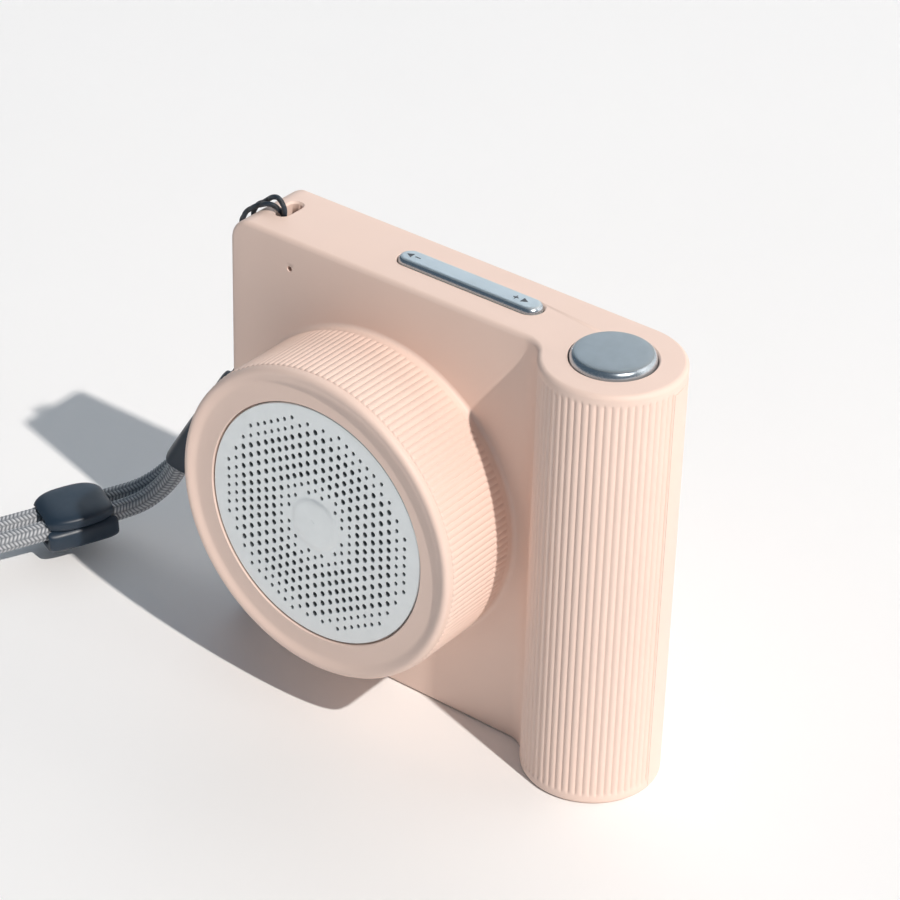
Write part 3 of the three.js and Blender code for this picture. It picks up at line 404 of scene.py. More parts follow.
def combine(target, operation, tools, sharp=35.0):
    """Cuts or joins solids for good; the tools are used up."""
    for solid in (target, *tools):
        check_closed(solid)
    for tool in tools:
        step = target.modifiers.new("step", "BOOLEAN")
        step.operation, step.object, step.solver = operation, tool, "MANIFOLD"
    depsgraph = bpy.context.evaluated_depsgraph_get()
    made = bpy.data.meshes.new_from_object(target.evaluated_get(depsgraph))
    target.modifiers.clear()
    target.data = made
    for tool in tools:
        bpy.data.objects.remove(tool)
    return shade(target, sharp)


def copy_of(obj, name):
    """A copy whose doubled points are merged, so that its surface is closed."""
    mesh = obj.data.copy()
    work = bmesh.new()
    work.from_mesh(mesh)
    bmesh.ops.remove_doubles(work, verts=work.verts, dist=1e-6)
    work.to_mesh(mesh)
    work.free()
    other = bpy.data.objects.new(name, mesh)
    bpy.context.scene.collection.objects.link(other)
    return other


def join(name, objects, sharp=35.0):
    """Puts several meshes into one object without touching their faces."""
    points, faces, materials, picks, base = [], [], [], [], 0
    for obj in objects:
        for material in obj.data.materials:
            if material not in materials:
                materials.append(material)
        for p in obj.data.polygons:
            faces.append([base + v for v in p.vertices])
            material = obj.data.materials[p.material_index] if obj.data.materials else None
            picks.append(materials.index(material) if material else 0)
        points += [v.co / MM for v in obj.data.vertices]
        base = len(points)
        bpy.data.objects.remove(obj)
    made = mesh_object(name, points, faces, materials, sharp)
    made.data.polygons.foreach_set("material_index", picks)
    return made


def block(x0, x1, y0, y1, z0, z1):
    ring = np.array([(x0, y0), (x1, y0), (x1, y1), (x0, y1)])
    return loft("block", [np.c_[ring, np.full(4, z)] for z in (z0, z1)])


def rod_y(x, z, y0, y1, radius, segments=32):
    return turned("rod", [(0, y0), (radius, y0), (radius, y1), (0, y1)], (x, z), "y", segments)


def arc(cx, cy, radius, start, end, count):
    a = np.radians(np.linspace(start, end, count))
    return np.stack([cx + np.cos(a) * radius, cy + np.sin(a) * radius], 1)


def stadium(x, y, length, width, count=16):
    """An oblong with round ends, as a ring of (x, y) points."""
    r, reach = width / 2, (length - width) / 2
    return np.concatenate([arc(x + reach, y, r, -90, 90, count), arc(x - reach, y, r, 90, 270, count)])


def rounded_box(a0, a1, b0, b1, r, count=10):
    """A rectangle with rounded corners, as a ring of points."""
    corners = [(a1 - r, b0 + r, -90), (a1 - r, b1 - r, 0), (a0 + r, b1 - r, 90), (a0 + r, b0 + r, 180)]
    return np.concatenate([arc(a, b, r, start, start + 90, count) for a, b, start in corners])


def chamfered_hole(ring_at, z0, lip):
    """A cutter through the top face, with a small chamfer where it leaves the surface."""
    rings = []
    for z, grow in [(z0, 0), (HEIGHT - lip, 0), (HEIGHT, lip), (HEIGHT + 1, lip)]:
        ring = ring_at(grow)
        rings.append(np.c_[ring, np.full(len(ring), z)])
    return loft("hole", rings)


# ---- The body's shells -----------------------------------------------------------------------
# Depths of the rings from each end of the body, closer together where it is rounded.
END_LEVELS = (0, 0.03, 0.1, 0.22, 0.38, 0.6, 0.85, 1.0, 1.4, 1.9, 2.2, 2.45, 2.7, 3.0, 3.6, 4.3, 5.0)


def plan_outline(fluted, plan_r):
    """Points, outward normals and groove depths round the body, seen from above."""
    blend_y = SLAB_FRONT - BLEND_R
    reach = math.sqrt((GRIP_R + BLEND_R) ** 2 - (GRIP_Y - blend_y) ** 2)
    blend_x = GRIP_X - reach
    meet = math.degrees(math.atan2(GRIP_Y - blend_y, reach))
    first, last = math.radians(meet - 178), math.radians(-2.5)  # from the fillet to the seam of the cover
    outline = []

    def groove(a):
        if not fluted or not first < a < last:
            return 0.0
        rib = abs(math.sin(math.pi * (a - last) / FLUTE_PITCH)) ** FLUTE_ROUND
        return FLUTE_DEPTH * (1 - rib) * min(1, (a - first) / FLUTE_PITCH)

    def add_arc(cx, cy, radius, start, end, count, out=1, cut=lambda a: 0.0):
        for a in np.radians(np.linspace(start, end, count)):
            c, s = math.cos(a), math.sin(a)
            outline.append((cx + c * radius, cy + s * radius, out * c, out * s, cut(a)))

    def add_line(x0, x1, y, out, count):
        outline.extend((x, y, 0, out, 0) for x in np.linspace(x0, x1, count)[1:-1])

    add_arc(LEFT + plan_r, SLAB_FRONT + plan_r, plan_r, 180, 270, 7)
    add_line(LEFT + plan_r, blend_x, SLAB_FRONT, -1, 28)
    add_arc(blend_x, blend_y, BLEND_R, 90, meet, 20, out=-1)
    steps = int((270 - meet) / math.degrees(FLUTE_PITCH) * 12) if fluted else 60
    add_arc(GRIP_X, GRIP_Y, GRIP_R, meet - 179.9, 90, steps, cut=groove)
    add_line(GRIP_X, LEFT + plan_r, BACK, 1, 24)
    add_arc(LEFT + plan_r, BACK - plan_r, plan_r, 90, 180, 7)
    table = np.array(outline)
    return table[:, :2], table[:, 2:4], table[:, 4]


def drawn_in(radius, depth):
    """How far a rounded edge of `radius` draws in at `depth` from its end."""
    rest = radius - min(depth, radius)
    return radius - math.sqrt(radius**2 - rest**2)


def smooth(t):
    t = np.clip(t, 0, 1)
    return t * t * (3 - 2 * t)


def body_solid(name, inset=0.0, bottom=0.0, top=HEIGHT, fluted=False):
    """The body as one solid, or with an inset the space inside it."""
    plan_r = max(PLAN_R, inset + 0.2)
    points, normals, grooves = plan_outline(fluted, plan_r)
    left = np.clip((LEFT + LEFT_END - points[:, 0]) / (LEFT_END - plan_r), 0, 1)
    levels = [(bottom + h, h) for h in END_LEVELS] + [(top - h, h) for h in END_LEVELS[::-1]]
    rings = []
    for z, h in levels:
        edge = min(drawn_in(EDGE_R, h), EDGE_MOST) if inset == 0 else 0
        depth = inset + edge + grooves * smooth((h - FLUTE_END + 0.3) / 0.6)
        ring = points - normals * depth[:, None]
        ring[:, 0] += left * (drawn_in(CORNER_R - inset, h) - edge)
        rings.append(np.c_[ring, np.full(len(ring), z)])
    return loft(name, rings, [SLOTS["shell"]])


def cover_space(grow):
    """The room that the rear cover takes: the flat back and the rear half of the grip."""
    top = HEIGHT - TOP_WALL - SEAM_GAP + grow
    flat = block(LEFT - 1, RIGHT + 1, BACK - COVER_T - grow, BACK + 1, -1, top)
    half = block(COVER_SPLIT_X - grow, RIGHT + 1.5, GRIP_Y - grow, BACK + 1.5, -1.5, top)
    return combine(flat, "UNION", [half])


def make_shells():
    """The front shell with its bosses and openings, and the rear cover with its screw holes."""
    front = body_solid("front_shell_body", fluted=True)
    hollow = body_solid("hollow", WALL, WALL, HEIGHT - TOP_WALL)
    lap = 0.1  # the bosses reach this far into the wall
    room = body_solid("room", WALL - lap, WALL - lap, HEIGHT - TOP_WALL + lap)
    combine(front, "DIFFERENCE", [hollow])
    cover = copy_of(front, "rear_cover_body")
    combine(cover, "INTERSECT", [cover_space(0)])
    opening = rod_y(BARREL_X, BARREL_Z, SLAB_FRONT - 1, SLAB_FRONT + WALL + 1, TUBE_IN, 120)
    combine(front, "DIFFERENCE", [cover_space(SEAM_GAP), opening])
    bosses = copy_of(NODES["front_shell"], "bosses")
    bosses.data.materials.clear()
    bosses.data.materials.append(SLOTS["shell"])
    combine(front, "UNION", [combine(bosses, "INTERSECT", [room])])
    combine(front, "DIFFERENCE", [*key_openings(), *side_openings()])
    combine(cover, "DIFFERENCE", [counterbore(x, z) for x, z in SCREWS])
    return front, cover


def rocker_ring(grow):
    """The outline of the opening for the volume key, wider by `grow` all round."""
    extra = 2 * (ROCKER_GAP + grow)
    return stadium(ROCKER_X, SLAB_MID, ROCKER_L + extra, ROCKER_W + extra)


def key_openings():
    """Holes for the power button, the volume key and the strap, each with a fine chamfer."""
    under = HEIGHT - TOP_WALL - 1
    round_hole = chamfered_hole(lambda g: arc(GRIP_X, GRIP_Y, BUTTON_HOLE_R + g, 0, 356.25, 96), under, 0.28)
    long_hole = chamfered_hole(rocker_ring, under, 0.25)
    eyelet = chamfered_hole(
        lambda g: rounded_box(EYELET_X[0] - g, EYELET_X[1] + g, EYELET_Y[0] - g, EYELET_Y[1] + g, 1.35 + g),
        EYELET_Z[0] + 0.1, 0.4,
    )
    return round_hole, long_hole, eyelet


def side_openings():
    """The strap's way out and the charging socket's opening in the left side, and the microphone's hole."""
    way_out = side_hole(rounded_box(*EYELET_Y, *EYELET_Z, 1.3), EYELET_X[1] - 0.05)
    socket = rounded_box(USB_Y - USB_HALF_Y, USB_Y + USB_HALF_Y, USB_Z - USB_HALF_Z, USB_Z + USB_HALF_Z, 2.0)
    usb = side_hole(socket, LEFT + WALL + 1)
    dish = [(0, SLAB_FRONT - 1), (0.66, SLAB_FRONT - 1), (0.64, SLAB_FRONT), (0.52, SLAB_FRONT + 0.12)]
    dish += [(0.52, SLAB_FRONT + WALL + 1), (0, SLAB_FRONT + WALL + 1)]
    return way_out, usb, turned("microphone_hole", dish, MIC_AT, "y", 32)


def side_hole(ring, x_end):
    """A cutter from outside the left side to x_end."""
    rings = [np.c_[np.full(len(ring), x), ring] for x in (LEFT - 1, x_end)]
    return face_outwards(loft("hole", rings))


def counterbore(x, z):
    """A cutter for a cover screw: its shaft's hole, the room for its head and a small chamfer."""
    profile = [(0, BACK - COVER_T - 1), (1.3, BACK - COVER_T - 1), (1.3, BACK - 1.3), (2.3, BACK - 1.3)]
    profile += [(2.3, BACK - 0.2), (2.5, BACK), (2.5, BACK + 1), (0, BACK + 1)]
    return turned("counterbore", profile, (x, z), "y", 48)


def make_cover_screw(x, z, index):
    """A flat screw head with a rounded rim and a cross recess, on its plain shaft."""
    top = BACK - 0.15
    profile = [(0, 8), (0.9, 8), (1, 8.2), (1, BACK - 1.0), (1.95, BACK - 1.0), (2, BACK - 0.9)]
    profile += [(2, top - 0.25), (1.9, top - 0.07), (1.7, top), (0, top)]
    screw = turned(f"cover_screw_{index}_head", profile, (x, z), "y", 48, [SLOTS["plated_steel"]])
    arms = [block(x - a, x + a, top - 0.6, top + 1, z - b, z + b) for a, b in ((1.15, 0.24), (0.24, 1.15))]
    return combine(screw, "DIFFERENCE", arms)


# ---- The barrel ------------------------------------------------------------------------------
def ribbed_sleeve():
    """The knurled band round the barrel: fine round ribs along it, with rounded ends."""
    per_rib = 10
    spin = np.linspace(0, 2 * math.pi, RIBS * per_rib, endpoint=False)
    rib = np.abs(np.sin(spin * RIBS / 2)) ** 0.8
    # Radius, place along the barrel, and the share of their depth that the grooves have there.
    span = [(TUBE_OUT, -17.1, 0), (31.9, -17.1, 0), (32.25, -17.05, 0.6), (32.42, -16.9, 0.9)]
    span += [(RIB_R, -16.6, 1), (RIB_R, -1.2, 1)]
    span += [(32.42, -0.8, 0.7), (NECK_R + 0.02, -0.5, 0), (TUBE_OUT, -0.5, 0)]
    rings = []
    for radius, y, share in span:
        r = radius - RIB_DEPTH * (1 - rib) * share
        x, z = BARREL_X + np.cos(spin) * r, BARREL_Z + np.sin(spin) * r
        rings.append(np.stack([x, np.full_like(r, y), z], 1))
    faces = grid_faces(len(rings), len(spin), closed_rings=True)
    points = np.concatenate(rings)
    return face_outwards(mesh_object("barrel_sleeve_ribs", points, faces, [SLOTS["shell"]]), 50)


def barrel_tube():
    """The tube that carries the loudspeaker, with a neck that flares out onto the body."""
    profile = [(LEDGE_IN, -10.1), (TUBE_IN, -10.1), (TUBE_IN, -17), (TUBE_OUT - 0.05, -17)]
    profile += [(TUBE_OUT - 0.05, -0.55), (NECK_R, -0.55)]
    flare = ROOT_R - NECK_R
    for a in np.radians(range(0, 91, 9)):
        profile.append((ROOT_R - flare * math.cos(a), SLAB_FRONT - flare * (1 - math.sin(a))))
    profile += [(ROOT_R, SLAB_FRONT + 0.1), (TUBE_IN, SLAB_FRONT + 0.1), (TUBE_IN, -8.1), (LEDGE_IN, -8.1)]
    return turned("barrel_tube_body", profile, (BARREL_X, BARREL_Z), "y", 240, [SLOTS["shell"]])


def front_ring():
    """A flat face between a stepped seat for the grille and a rounded lip that rises softly from it."""
    rise = [(28.9, -18.0), (29.3, -18.04), (29.7, -18.16), (30.1, -18.36), (30.5, -18.56), (30.9, -18.7)]
    lip = [(31.25, -18.75), (31.6, -18.68), (31.92, -18.46), (32.15, -18.1), (32.26, -17.6), (32.26, -17.08)]
    profile = [(24.2, -16), (24.2, -16.6), (25.3, -16.6), (25.3, -17.86), (25.42, -18), (27, -18)]
    profile += [*rise, *lip, (26.9, -17.08), (26.9, -12.8), (25.4, -12.8), (25.4, -16)]
    return turned("front_ring_body", profile, (BARREL_X, BARREL_Z), "y", 300, [SLOTS["shell"]], 40)


def grille_holes():
    """Centres and radii of the grille's holes: a triangular grid whose six sides are drawn in a little."""
    small_within, small_beyond, small_off_axis = 9.1, 20.6, 18.9  # radii where the holes are smaller
    folds = [np.array((math.sin(a), math.cos(a))) for a in (0, math.pi / 3, 2 * math.pi / 3)]
    reach = range(-13, 14)
    for column in reach:
        for row in reach:
            x = column * HOLE_PITCH * math.sqrt(0.75)
            z = (row + 0.5 * (column % 2)) * HOLE_PITCH
            at = np.array((x, z))
            ring = max(abs(fold @ at) for fold in folds) / HOLE_PITCH
            pull = sum(fold * min(max(fold @ at / PULL_REACH, -1), 1) for fold in folds)
            at = at - PULL * pull
            radius = math.hypot(*at)
            if ring < PLAIN_MIDDLE or radius > PLAIN_RIM:
                continue
            turn = math.degrees(math.atan2(at[0], at[1])) % 60
            off_axis = min(turn, 60 - turn) > 15
            small = radius < small_within or radius > small_beyond or (radius > small_off_axis and off_axis)
            yield at, SMALL_HOLE / 2 if small else HOLE / 2


def grille():
    """A disc with a rounded rim, a raised centre with a small pit, and its holes, each with a chamfer."""
    rim = [(24.4, -16.9), (24.85, -16.95), (25.0, -17.1), (25.0, -17.55), (24.85, -17.7), (24.5, -17.74)]
    boss = [(5.9, -17.7), (5.6, -17.73), (5.3, -17.82), (5, -17.92), (4.6, -18), (4, -18.06), (0, -18.12)]
    profile = [(0, -16.9), *rim, *boss]
    disc = turned("grille_disc", profile, (BARREL_X, BARREL_Z), "y", 192, [SLOTS["grille_metal"]], 25)
    sides, chamfer = 16, 0.1
    levels = ((-18.5, chamfer), (-17.7, chamfer), (-17.6, 0.0), (-16.0, 0.0))
    spin = np.linspace(0, 2 * math.pi, sides, endpoint=False)
    points, faces = [], []
    for (x, z), radius in grille_holes():
        base = len(points)
        last = base + (len(levels) - 1) * sides
        for y, grow in levels:
            for a in spin:
                r = radius + grow
                points.append((BARREL_X + x + math.cos(a) * r, y, BARREL_Z + z + math.sin(a) * r))
        faces += [tuple(base + v for v in face) for face in grid_faces(len(levels), sides)]
        faces += [tuple(range(base + sides - 1, base - 1, -1)), tuple(range(last, last + sides))]
    cutters = face_outwards(mesh_object("holes", points, faces))
    pit_profile = [(0, -18.5), (0.4, -18.5), (0.4, -18.05), (0, -18.05)]
    pit = turned("pit", pit_profile, (BARREL_X, BARREL_Z + 0.85), "y", 20)
    return combine(disc, "DIFFERENCE", [cutters, pit], 25)


# ---- Keys ------------------------------------------------------------------------------------
def power_button():
    """A cap with a brushed, slightly crowned top and a polished rounded edge, whose lighter, bluer colour is
    painted reflection.
    """
    crown = [(0, 91.5), (2, 91.49), (4, 91.45), (5.6, 91.38), (6.5, 91.31), (6.95, 91.24)]
    edge = [(7.22, 91.14), (7.46, 90.96), (7.66, 90.68), (7.81, 90.33), (7.91, 89.9), (BUTTON_R, 89.4)]
    skirt = [(BUTTON_R, 87.2), (9.4, 87.1), (9.4, 86.1), (1.6, 86.1), (1.6, 84.95), (0, 84.95)]
    flange_z = 87.2
    metals = [SLOTS["key_metal"], POLISHED_PAINTED_REFLECTION]
    button = turned("power_button_cap", crown + edge + skirt, (GRIP_X, GRIP_Y), "z", 128, metals, 40)
    for face in button.data.polygons:
        x, y, z = face.center / MM
        polished = math.hypot(x - GRIP_X, y - GRIP_Y) > BUTTON_SATIN_R and z > flange_z
        face.material_index = int(polished)
    return button


def volume_rocker():
    """A round-ended bar with a soft edge, over the moulded lever that carries it. The bar's steel is a
    lighter copy of the key steel, with painted light in its colour.
    """
    levels = [(86.5, 0), (89.9, 0), (90.25, 0.06), (90.52, 0.2), (90.71, 0.4), (90.83, 0.66)]
    levels += [(90.89, 0.9), (90.9, 1.1)]
    rings = []
    for z, draw in levels:
        ring = stadium(ROCKER_X, SLAB_MID, ROCKER_L - 2 * draw, ROCKER_W - 2 * draw, 24)
        rings.append(np.c_[ring, np.full(len(ring), z)])
    bar = loft("volume_rocker_bar", rings, [LIT_BAR_STEEL, POLISHED_PAINTED_REFLECTION])
    for face in bar.data.polygons:
        face.material_index = int(ROCKER_EDGE[0] < face.center.z / MM < ROCKER_EDGE[1])
    lever = copy_of(NODES["volume_rocker"], "lever")
    lever.data.materials.clear()
    lever.data.materials.append(SLOTS["key_metal"])
    below_bar = block(-40, 40, 0, 20, 80, 86.7)
    combine(bar, "UNION", [combine(lever, "INTERSECT", [below_bar])])
    return bar


def key_marks():
    """Plain raised signs on the volume key: back and minus at one end, plus and forward at the other."""
    foot, top = 90.86, 90.93
    half, thin = 0.6, 0.11  # half the length and half the width of a stroke
    bars = []

    def prism(ring):
        """A raised mark with this outline, whichever way round its points are given."""
        ring = np.array(ring, float)
        area = np.cross(ring, np.roll(ring, -1, 0)).sum()
        ring = ring if area > 0 else ring[::-1]
        bars.append(loft("mark", [np.c_[ring, np.full(len(ring), z)] for z in (foot, top)], [PRINT]))

    def triangle(x, way):
        base, tip = x - way * 0.65, x + way * 0.65
        prism([(base, SLAB_MID - 0.75), (tip, SLAB_MID), (base, SLAB_MID + 0.75)])

    def stroke(x, half_x, half_y):
        near, far = SLAB_MID - half_y, SLAB_MID + half_y
        prism([(x - half_x, near), (x + half_x, near), (x + half_x, far), (x - half_x, far)])

    triangle(-13.3, -1)
    stroke(-11.4, half, thin)
    stroke(11.3, half, thin)
    stroke(11.3, thin, half)
    triangle(13.4, 1)
    return join("volume_rocker_marks", bars)


# ---- The wrist strap -------------------------------------------------------------------------
def smooth_route(points, step):
    """A centripetal Catmull-Rom curve through the points, sampled evenly."""
    p = [np.array(q, float) for q in points]
    p = [2 * p[0] - p[1], *p, 2 * p[-1] - p[-2]]
    fine = []
    for a, b, c, d in zip(p, p[1:], p[2:], p[3:]):
        t0 = 0.0
        t1 = t0 + math.sqrt(np.linalg.norm(b - a))
        t2 = t1 + math.sqrt(np.linalg.norm(c - b))
        t3 = t2 + math.sqrt(np.linalg.norm(d - c))
        for t in np.linspace(t1, t2, 30, endpoint=False):
            ab = (t1 - t) / (t1 - t0) * a + (t - t0) / (t1 - t0) * b
            bc = (t2 - t) / (t2 - t1) * b + (t - t1) / (t2 - t1) * c
            cd = (t3 - t) / (t3 - t2) * c + (t - t2) / (t3 - t2) * d
            left = (t2 - t) / (t2 - t0) * ab + (t - t0) / (t2 - t0) * bc
            right = (t3 - t) / (t3 - t1) * bc + (t - t1) / (t3 - t1) * cd
            fine.append((t2 - t) / (t2 - t1) * left + (t - t1) / (t2 - t1) * right)
    fine = np.array([*fine, p[-2]])
    along = np.r_[0, np.cumsum(np.linalg.norm(np.diff(fine, axis=0), axis=1))]
    even = np.linspace(0, along[-1], int(along[-1] / step) + 1)
    return np.stack([np.interp(even, along, fine[:, k]) for k in range(3)], 1), along[-1]


def carried_frames(route, start):
    """Two directions across the route at each point, carried along it without twist."""
    ahead = np.gradient(route, axis=0)
    ahead /= np.linalg.norm(ahead, axis=1)[:, None]
    side = np.array(start, float)
    sides = []
    for way in ahead:
        side = side - way * (side @ way)
        side /= np.linalg.norm(side)
        sides.append(side)
    sides = np.array(sides)
    return sides, np.cross(ahead, sides)


def cord_tube(name, route, start, count, radius_at, material):
    """A closed tube round the route; radius_at(distance, turn) gives its radius."""
    sides, others = carried_frames(route, start)
    gaps = np.linalg.norm(np.diff(route, axis=0), axis=1)
    distance = np.r_[0, np.cumsum(gaps)][:, None]
    turn = np.linspace(0, 1, count, endpoint=False)[None, :]
    radius = radius_at(distance, turn)
    angle = 2 * math.pi * turn
    out = sides[:, None] * np.cos(angle)[..., None] + others[:, None] * np.sin(angle)[..., None]
    points = route[:, None] + out * radius[..., None]
    rings = len(route)
    faces = grid_faces(rings, count)
    faces += [tuple(range(count))[::-1], tuple(range((rings - 1) * count, rings * count))]
    tube = face_outwards(mesh_object(name, points.reshape(-1, 3), faces, [material]), 60)
    lay_out_yarn(tube.data, distance.ravel(), count)
    return tube


def lay_out_yarn(mesh, distance, count):
    """Writes (distance, turn) to the `yarn` UV map; the last column of faces ends at a full turn."""
    corners = np.zeros(len(mesh.loops), np.int32)
    mesh.loops.foreach_get("vertex_index", corners)
    ring, column = corners // count, (corners % count).astype(float)
    for face in mesh.polygons:
        span = slice(face.loop_start, face.loop_start + face.loop_total)
        if face.loop_total == 4 and np.ptp(column[span]) > 1:
            column[span] = np.where(column[span] == 0, count, column[span])
    uv = np.stack([distance[ring], column / count], 1)
    mesh.uv_layers.new(name="yarn").data.foreach_set("uv", uv.ravel())


def braid_surface(distance, turn):
    """The braid's radius: columns of slanting stitches that lean towards each other in pairs."""
    column = turn * BRAID_COLUMNS
    within = column % 1 - 0.5
    lean = np.where(np.floor(column) % 2 < 1, 1.0, -1.0)
    phase = distance / STITCH_PITCH + lean * within * STITCH_SLANT
    stitch = np.abs(np.sin(math.pi * phase)) * np.sqrt(np.clip(1 - (STITCH_CROWN * within) ** 2, 0, 1))
    return BRAID_D / 2 - STITCH_HEIGHT * (1 - stitch)


def ply_surface(distance, turn):
    """The thin cord's radius: two plies twisted round each other."""
    return THIN_D / 2 * (0.8 + 0.2 * np.abs(np.cos(math.pi * (turn + distance / PLY_PITCH))))


def across_strap(index):
    """The direction from the strap's middle line to its first strand, at one point of STRAP_LINE."""
    line = np.array(STRAP_LINE)
    before, after = line[max(index - 1, 0), :3], line[min(index + 1, len(line) - 1), :3]
    ahead = (after - before) / np.linalg.norm(after - before)
    turn = math.radians(line[index, 4])
    across = np.cross((0, -math.cos(turn), math.sin(turn)), ahead)
    return across / np.linalg.norm(across)


def strap_route():
    """Out along one side of the strap's middle line, round the far bend and back along the other side."""
    def side(sign):
        return [np.array(p[:3]) + across_strap(i) * sign * p[3] for i, p in enumerate(STRAP_LINE)]

    last = len(STRAP_LINE) - 1
    centre, radius = np.array(STRAP_LINE[last][:3]), STRAP_LINE[last][3]
    across = across_strap(last)
    onward = np.cross(across, (0, 0, 1))
    bend = [centre + (across * math.cos(a) + onward * math.sin(a)) * radius for a in np.radians(BEND_STEPS)]
    return [*side(1), *bend, *side(-1)[::-1]]


def rounded_section(centre, across, through, width, thickness, spin, square):
    """A ring between an oval (square = 1) and a rectangle (square = 0)."""
    c, s = np.cos(spin), np.sin(spin)
    u = np.sign(c) * np.abs(c) ** square * width / 2
    v = np.sign(s) * np.abs(s) ** square * thickness / 2
    return centre + u[:, None] * across + v[:, None] * through


def end_cap():
    """A long moulded taper that holds the thin cord above and both braided ends below."""
    along = CAP_END - CAP_TOP
    across = across_strap(0)
    through = np.cross(along, across)
    through /= np.linalg.norm(through)
    t_keys = (-0.016, 0.0, 0.04, 0.1, 0.35, 0.7, 0.93, 0.97, 0.988, 0.997, 1)
    widths = (2.9, 3.6, 4.2, 4.6, 6.3, 9.7, 11.9, 12.1, 11.9, 11.4, 10.7)
    depths = (2.2, 2.8, 3.2, 3.45, 4.3, 5.7, 6.45, 6.55, 6.4, 6.0, 5.4)
    spin = np.linspace(0, 2 * math.pi, 64, endpoint=False)
    rings = []
    for t in sorted({*np.linspace(0.02, 1, 30), *t_keys}):
        width, depth = np.interp(t, t_keys, widths), np.interp(t, t_keys, depths)
        rings.append(rounded_section(CAP_TOP + along * t, across, through, width, depth, spin, 0.5))
    return face_outwards(loft("strap_end_cap_body", rings, [SLOTS["navy_plastic"]]), 50)


def slider():
    """Two moulded halves round both strands: a domed, leaf-shaped one over a plainer one."""
    across = np.cross((0, 0, 1), SLIDER_WAY)
    across /= np.linalg.norm(across)
    through = np.cross(SLIDER_WAY, across)
    spin = np.linspace(0, 2 * math.pi, 72, endpoint=False)
    # Name, middle, depth and width; then the plan: the share of the width at the ends, and how it gets
    # there; last the share of the depth that is domed.
    shapes = (
        ("strap_slider_body", 2.15, 3.5, SLIDER_W, (0.5, 2.6, 0.6), 0.5),
        ("lower_half", -1.65, 5.7, SLIDER_W - 0.2, (0.88, 8.0, 0.5), 0.12),
    )
    halves = []
    for name, middle, depth, width, (end_share, power, round_off), dome in shapes:
        rings = []
        for t in np.sin(np.linspace(-math.pi / 2, math.pi / 2, 48)):
            wide = width * (end_share + (1 - end_share) * (1 - abs(t) ** power) ** round_off)
            deep = depth * (1 - dome + dome * (1 - abs(t) ** 4) ** 0.5)
            lift = middle - np.sign(middle) * (depth - deep) / 2
            at = SLIDER_AT + SLIDER_WAY * t * SLIDER_L / 2 + through * lift
            rings.append(rounded_section(at, across, through, wide, deep, spin, 0.54))
        halves.append(face_outwards(loft(name, rings, [SLOTS["navy_plastic"]]), 38))
    body = combine(halves[0], "UNION", halves[1:], 38)
    return combine(body, "DIFFERENCE", slider_cutters(across, through), 38)


def slider_cutters(across, through):
    """Two bores for the strands, and an oblong mouth at each end that both open into."""
    spin = np.linspace(0, 2 * math.pi, 40, endpoint=False)
    cutters = []
    for sign in (-1, 1):
        middle = SLIDER_AT + across * sign * STRAND
        ring = (np.cos(spin)[:, None] * across + np.sin(spin)[:, None] * through) * BORE_R
        bore = [middle + SLIDER_WAY * t + ring for t in (-SLIDER_L, SLIDER_L)]
        cutters.append(face_outwards(loft("bore", bore)))
        end = SLIDER_L / 2
        mouth = []
        for t, grow in ((end - 1.8, 0), (end - 0.7, 0.15), (end + 0.4, 0.75)):
            flat = stadium(0, 0, 2 * (STRAND + BORE_R + grow), 2 * (BORE_R + grow))
            centre = SLIDER_AT + SLIDER_WAY * t * sign
            mouth.append(centre + flat[:, :1] * across + flat[:, 1:] * through)
        cutters.append(face_outwards(loft("mouth", mouth)))
    return cutters


def place(obj, body, slot_name, *nodes):
    """Puts a piece on its body and in the place of the CAD nodes it stands for, which it hides; slot_name is
    not used.
    """
    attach(obj, body)
    if nodes:
        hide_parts(*nodes)
    return obj


# ---- The strap's pieces ------------------------------------------------------------------------
thin_route, thin_length = smooth_route(THIN_CORD, 0.15)
thin_cord = cord_tube("strap_thin_cord_plies", thin_route, (1, 0, 0), 16, ply_surface, SLOTS["navy_cord"])
braid_route, braid_length = smooth_route(strap_route(), 0.17)
braid = cord_tube("strap_braid_yarn", braid_route, across_strap(0), 50, braid_surface, SLOTS["silver_braid"])
cap = place(end_cap(), "housing", "navy_plastic", "strap_end_cap")
place(thin_cord, "housing", "navy_cord", "strap_thin_cord")
place(braid, "housing", "silver_braid", "strap_braid")
slide = place(slider(), "slider", "navy_plastic", "strap_slider")

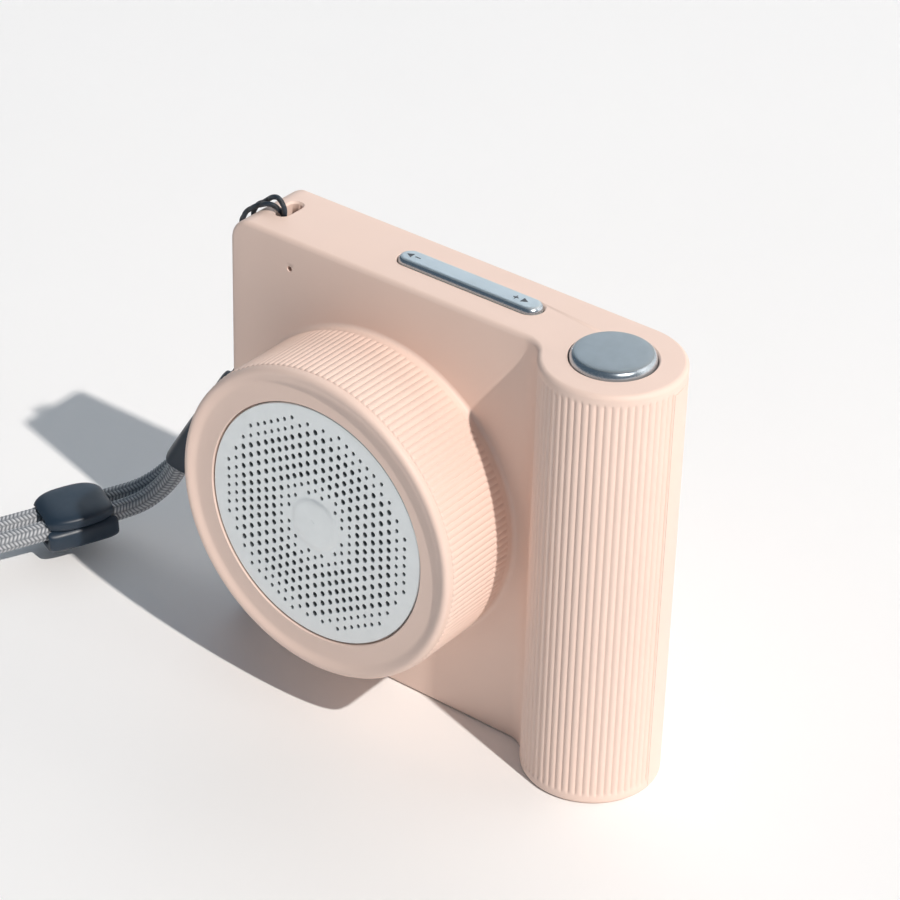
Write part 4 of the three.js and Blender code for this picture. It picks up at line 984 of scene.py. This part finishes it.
# ---- Every other piece -------------------------------------------------------------------------
shell_body, cover_body = make_shells()
place(shell_body, "housing", "shell", "front_shell")
place(cover_body, "housing", "shell", "rear_cover")
place(barrel_tube(), "housing", "shell", "barrel_tube")
place(ribbed_sleeve(), "housing", "shell", "barrel_sleeve")
place(front_ring(), "housing", "shell", "front_ring")
place(grille(), "housing", "grille_metal", "grille")
place(power_button(), "power_key", "key_metal", "power_button")
place(volume_rocker(), "volume_key", "key_metal", "volume_rocker")
place(key_marks(), "volume_key", "black_plastic")
for number, (x, z) in enumerate(SCREWS, 1):
    place(make_cover_screw(x, z, number), "housing", "plated_steel", f"cover_screw_{number}")
for part in frame["record"]["subparts"]:
    node = NODES[part["node"]]
    node.data.materials.clear()
    node.data.materials.append(SLOTS[part["material_slot"]])


# ---- Floor and light ---------------------------------------------------------------------------
def make_floor():
    """A floor that bends up into a wall behind, in metres until the mesh is made."""
    bend = [(1.6 + 0.8 * math.sin(a), 0.8 - 0.8 * math.cos(a)) for a in np.radians(range(0, 91, 9))]
    metre = 1000
    points = [(x * metre, y * metre, z * metre) for y, z in [(-6, 0), *bend, (2.4, 5)] for x in (-8, 8)]
    faces = [(i, i + 1, i + 3, i + 2) for i in range(0, len(points) - 2, 2)]
    pale = finish("pale_floor", (0.93, 0.93, 0.93), 0.6, tint=0.01, mottle_mm=200)
    mesh_object("floor", points, faces, [pale])


def area_light(name, way, distance, size, power, colour):
    """A square light that shines on the middle of the object from `distance` metres along `way`."""
    middle = Vector((0, 0, 0.04))
    data = bpy.data.lights.new(name, "AREA")
    data.size, data.energy, data.color = size, power, colour
    light = bpy.data.objects.new(name, data)
    bpy.context.scene.collection.objects.link(light)
    way = Vector(way).normalized()
    light.location = middle + way * distance
    light.rotation_euler = way.to_track_quat("Z", "Y").to_euler()


make_floor()
area_light("key", (0.668, -0.183, 0.722), distance=8.0, size=0.16, power=596, colour=(1, 0.94, 0.885))
area_light("sky_panel", (-0.51, 0.67, 0.54), distance=2.2, size=1.7, power=5.0, colour=(0.64, 0.82, 1))
world = bpy.data.worlds.new("studio")
world.use_nodes = True
world.node_tree.nodes["Background"].inputs["Color"].default_value = (0.62, 0.81, 1, 1)
world.node_tree.nodes["Background"].inputs["Strength"].default_value = 0.17
bpy.context.scene.world = world
bpy.context.scene.view_settings.view_transform = "Standard"
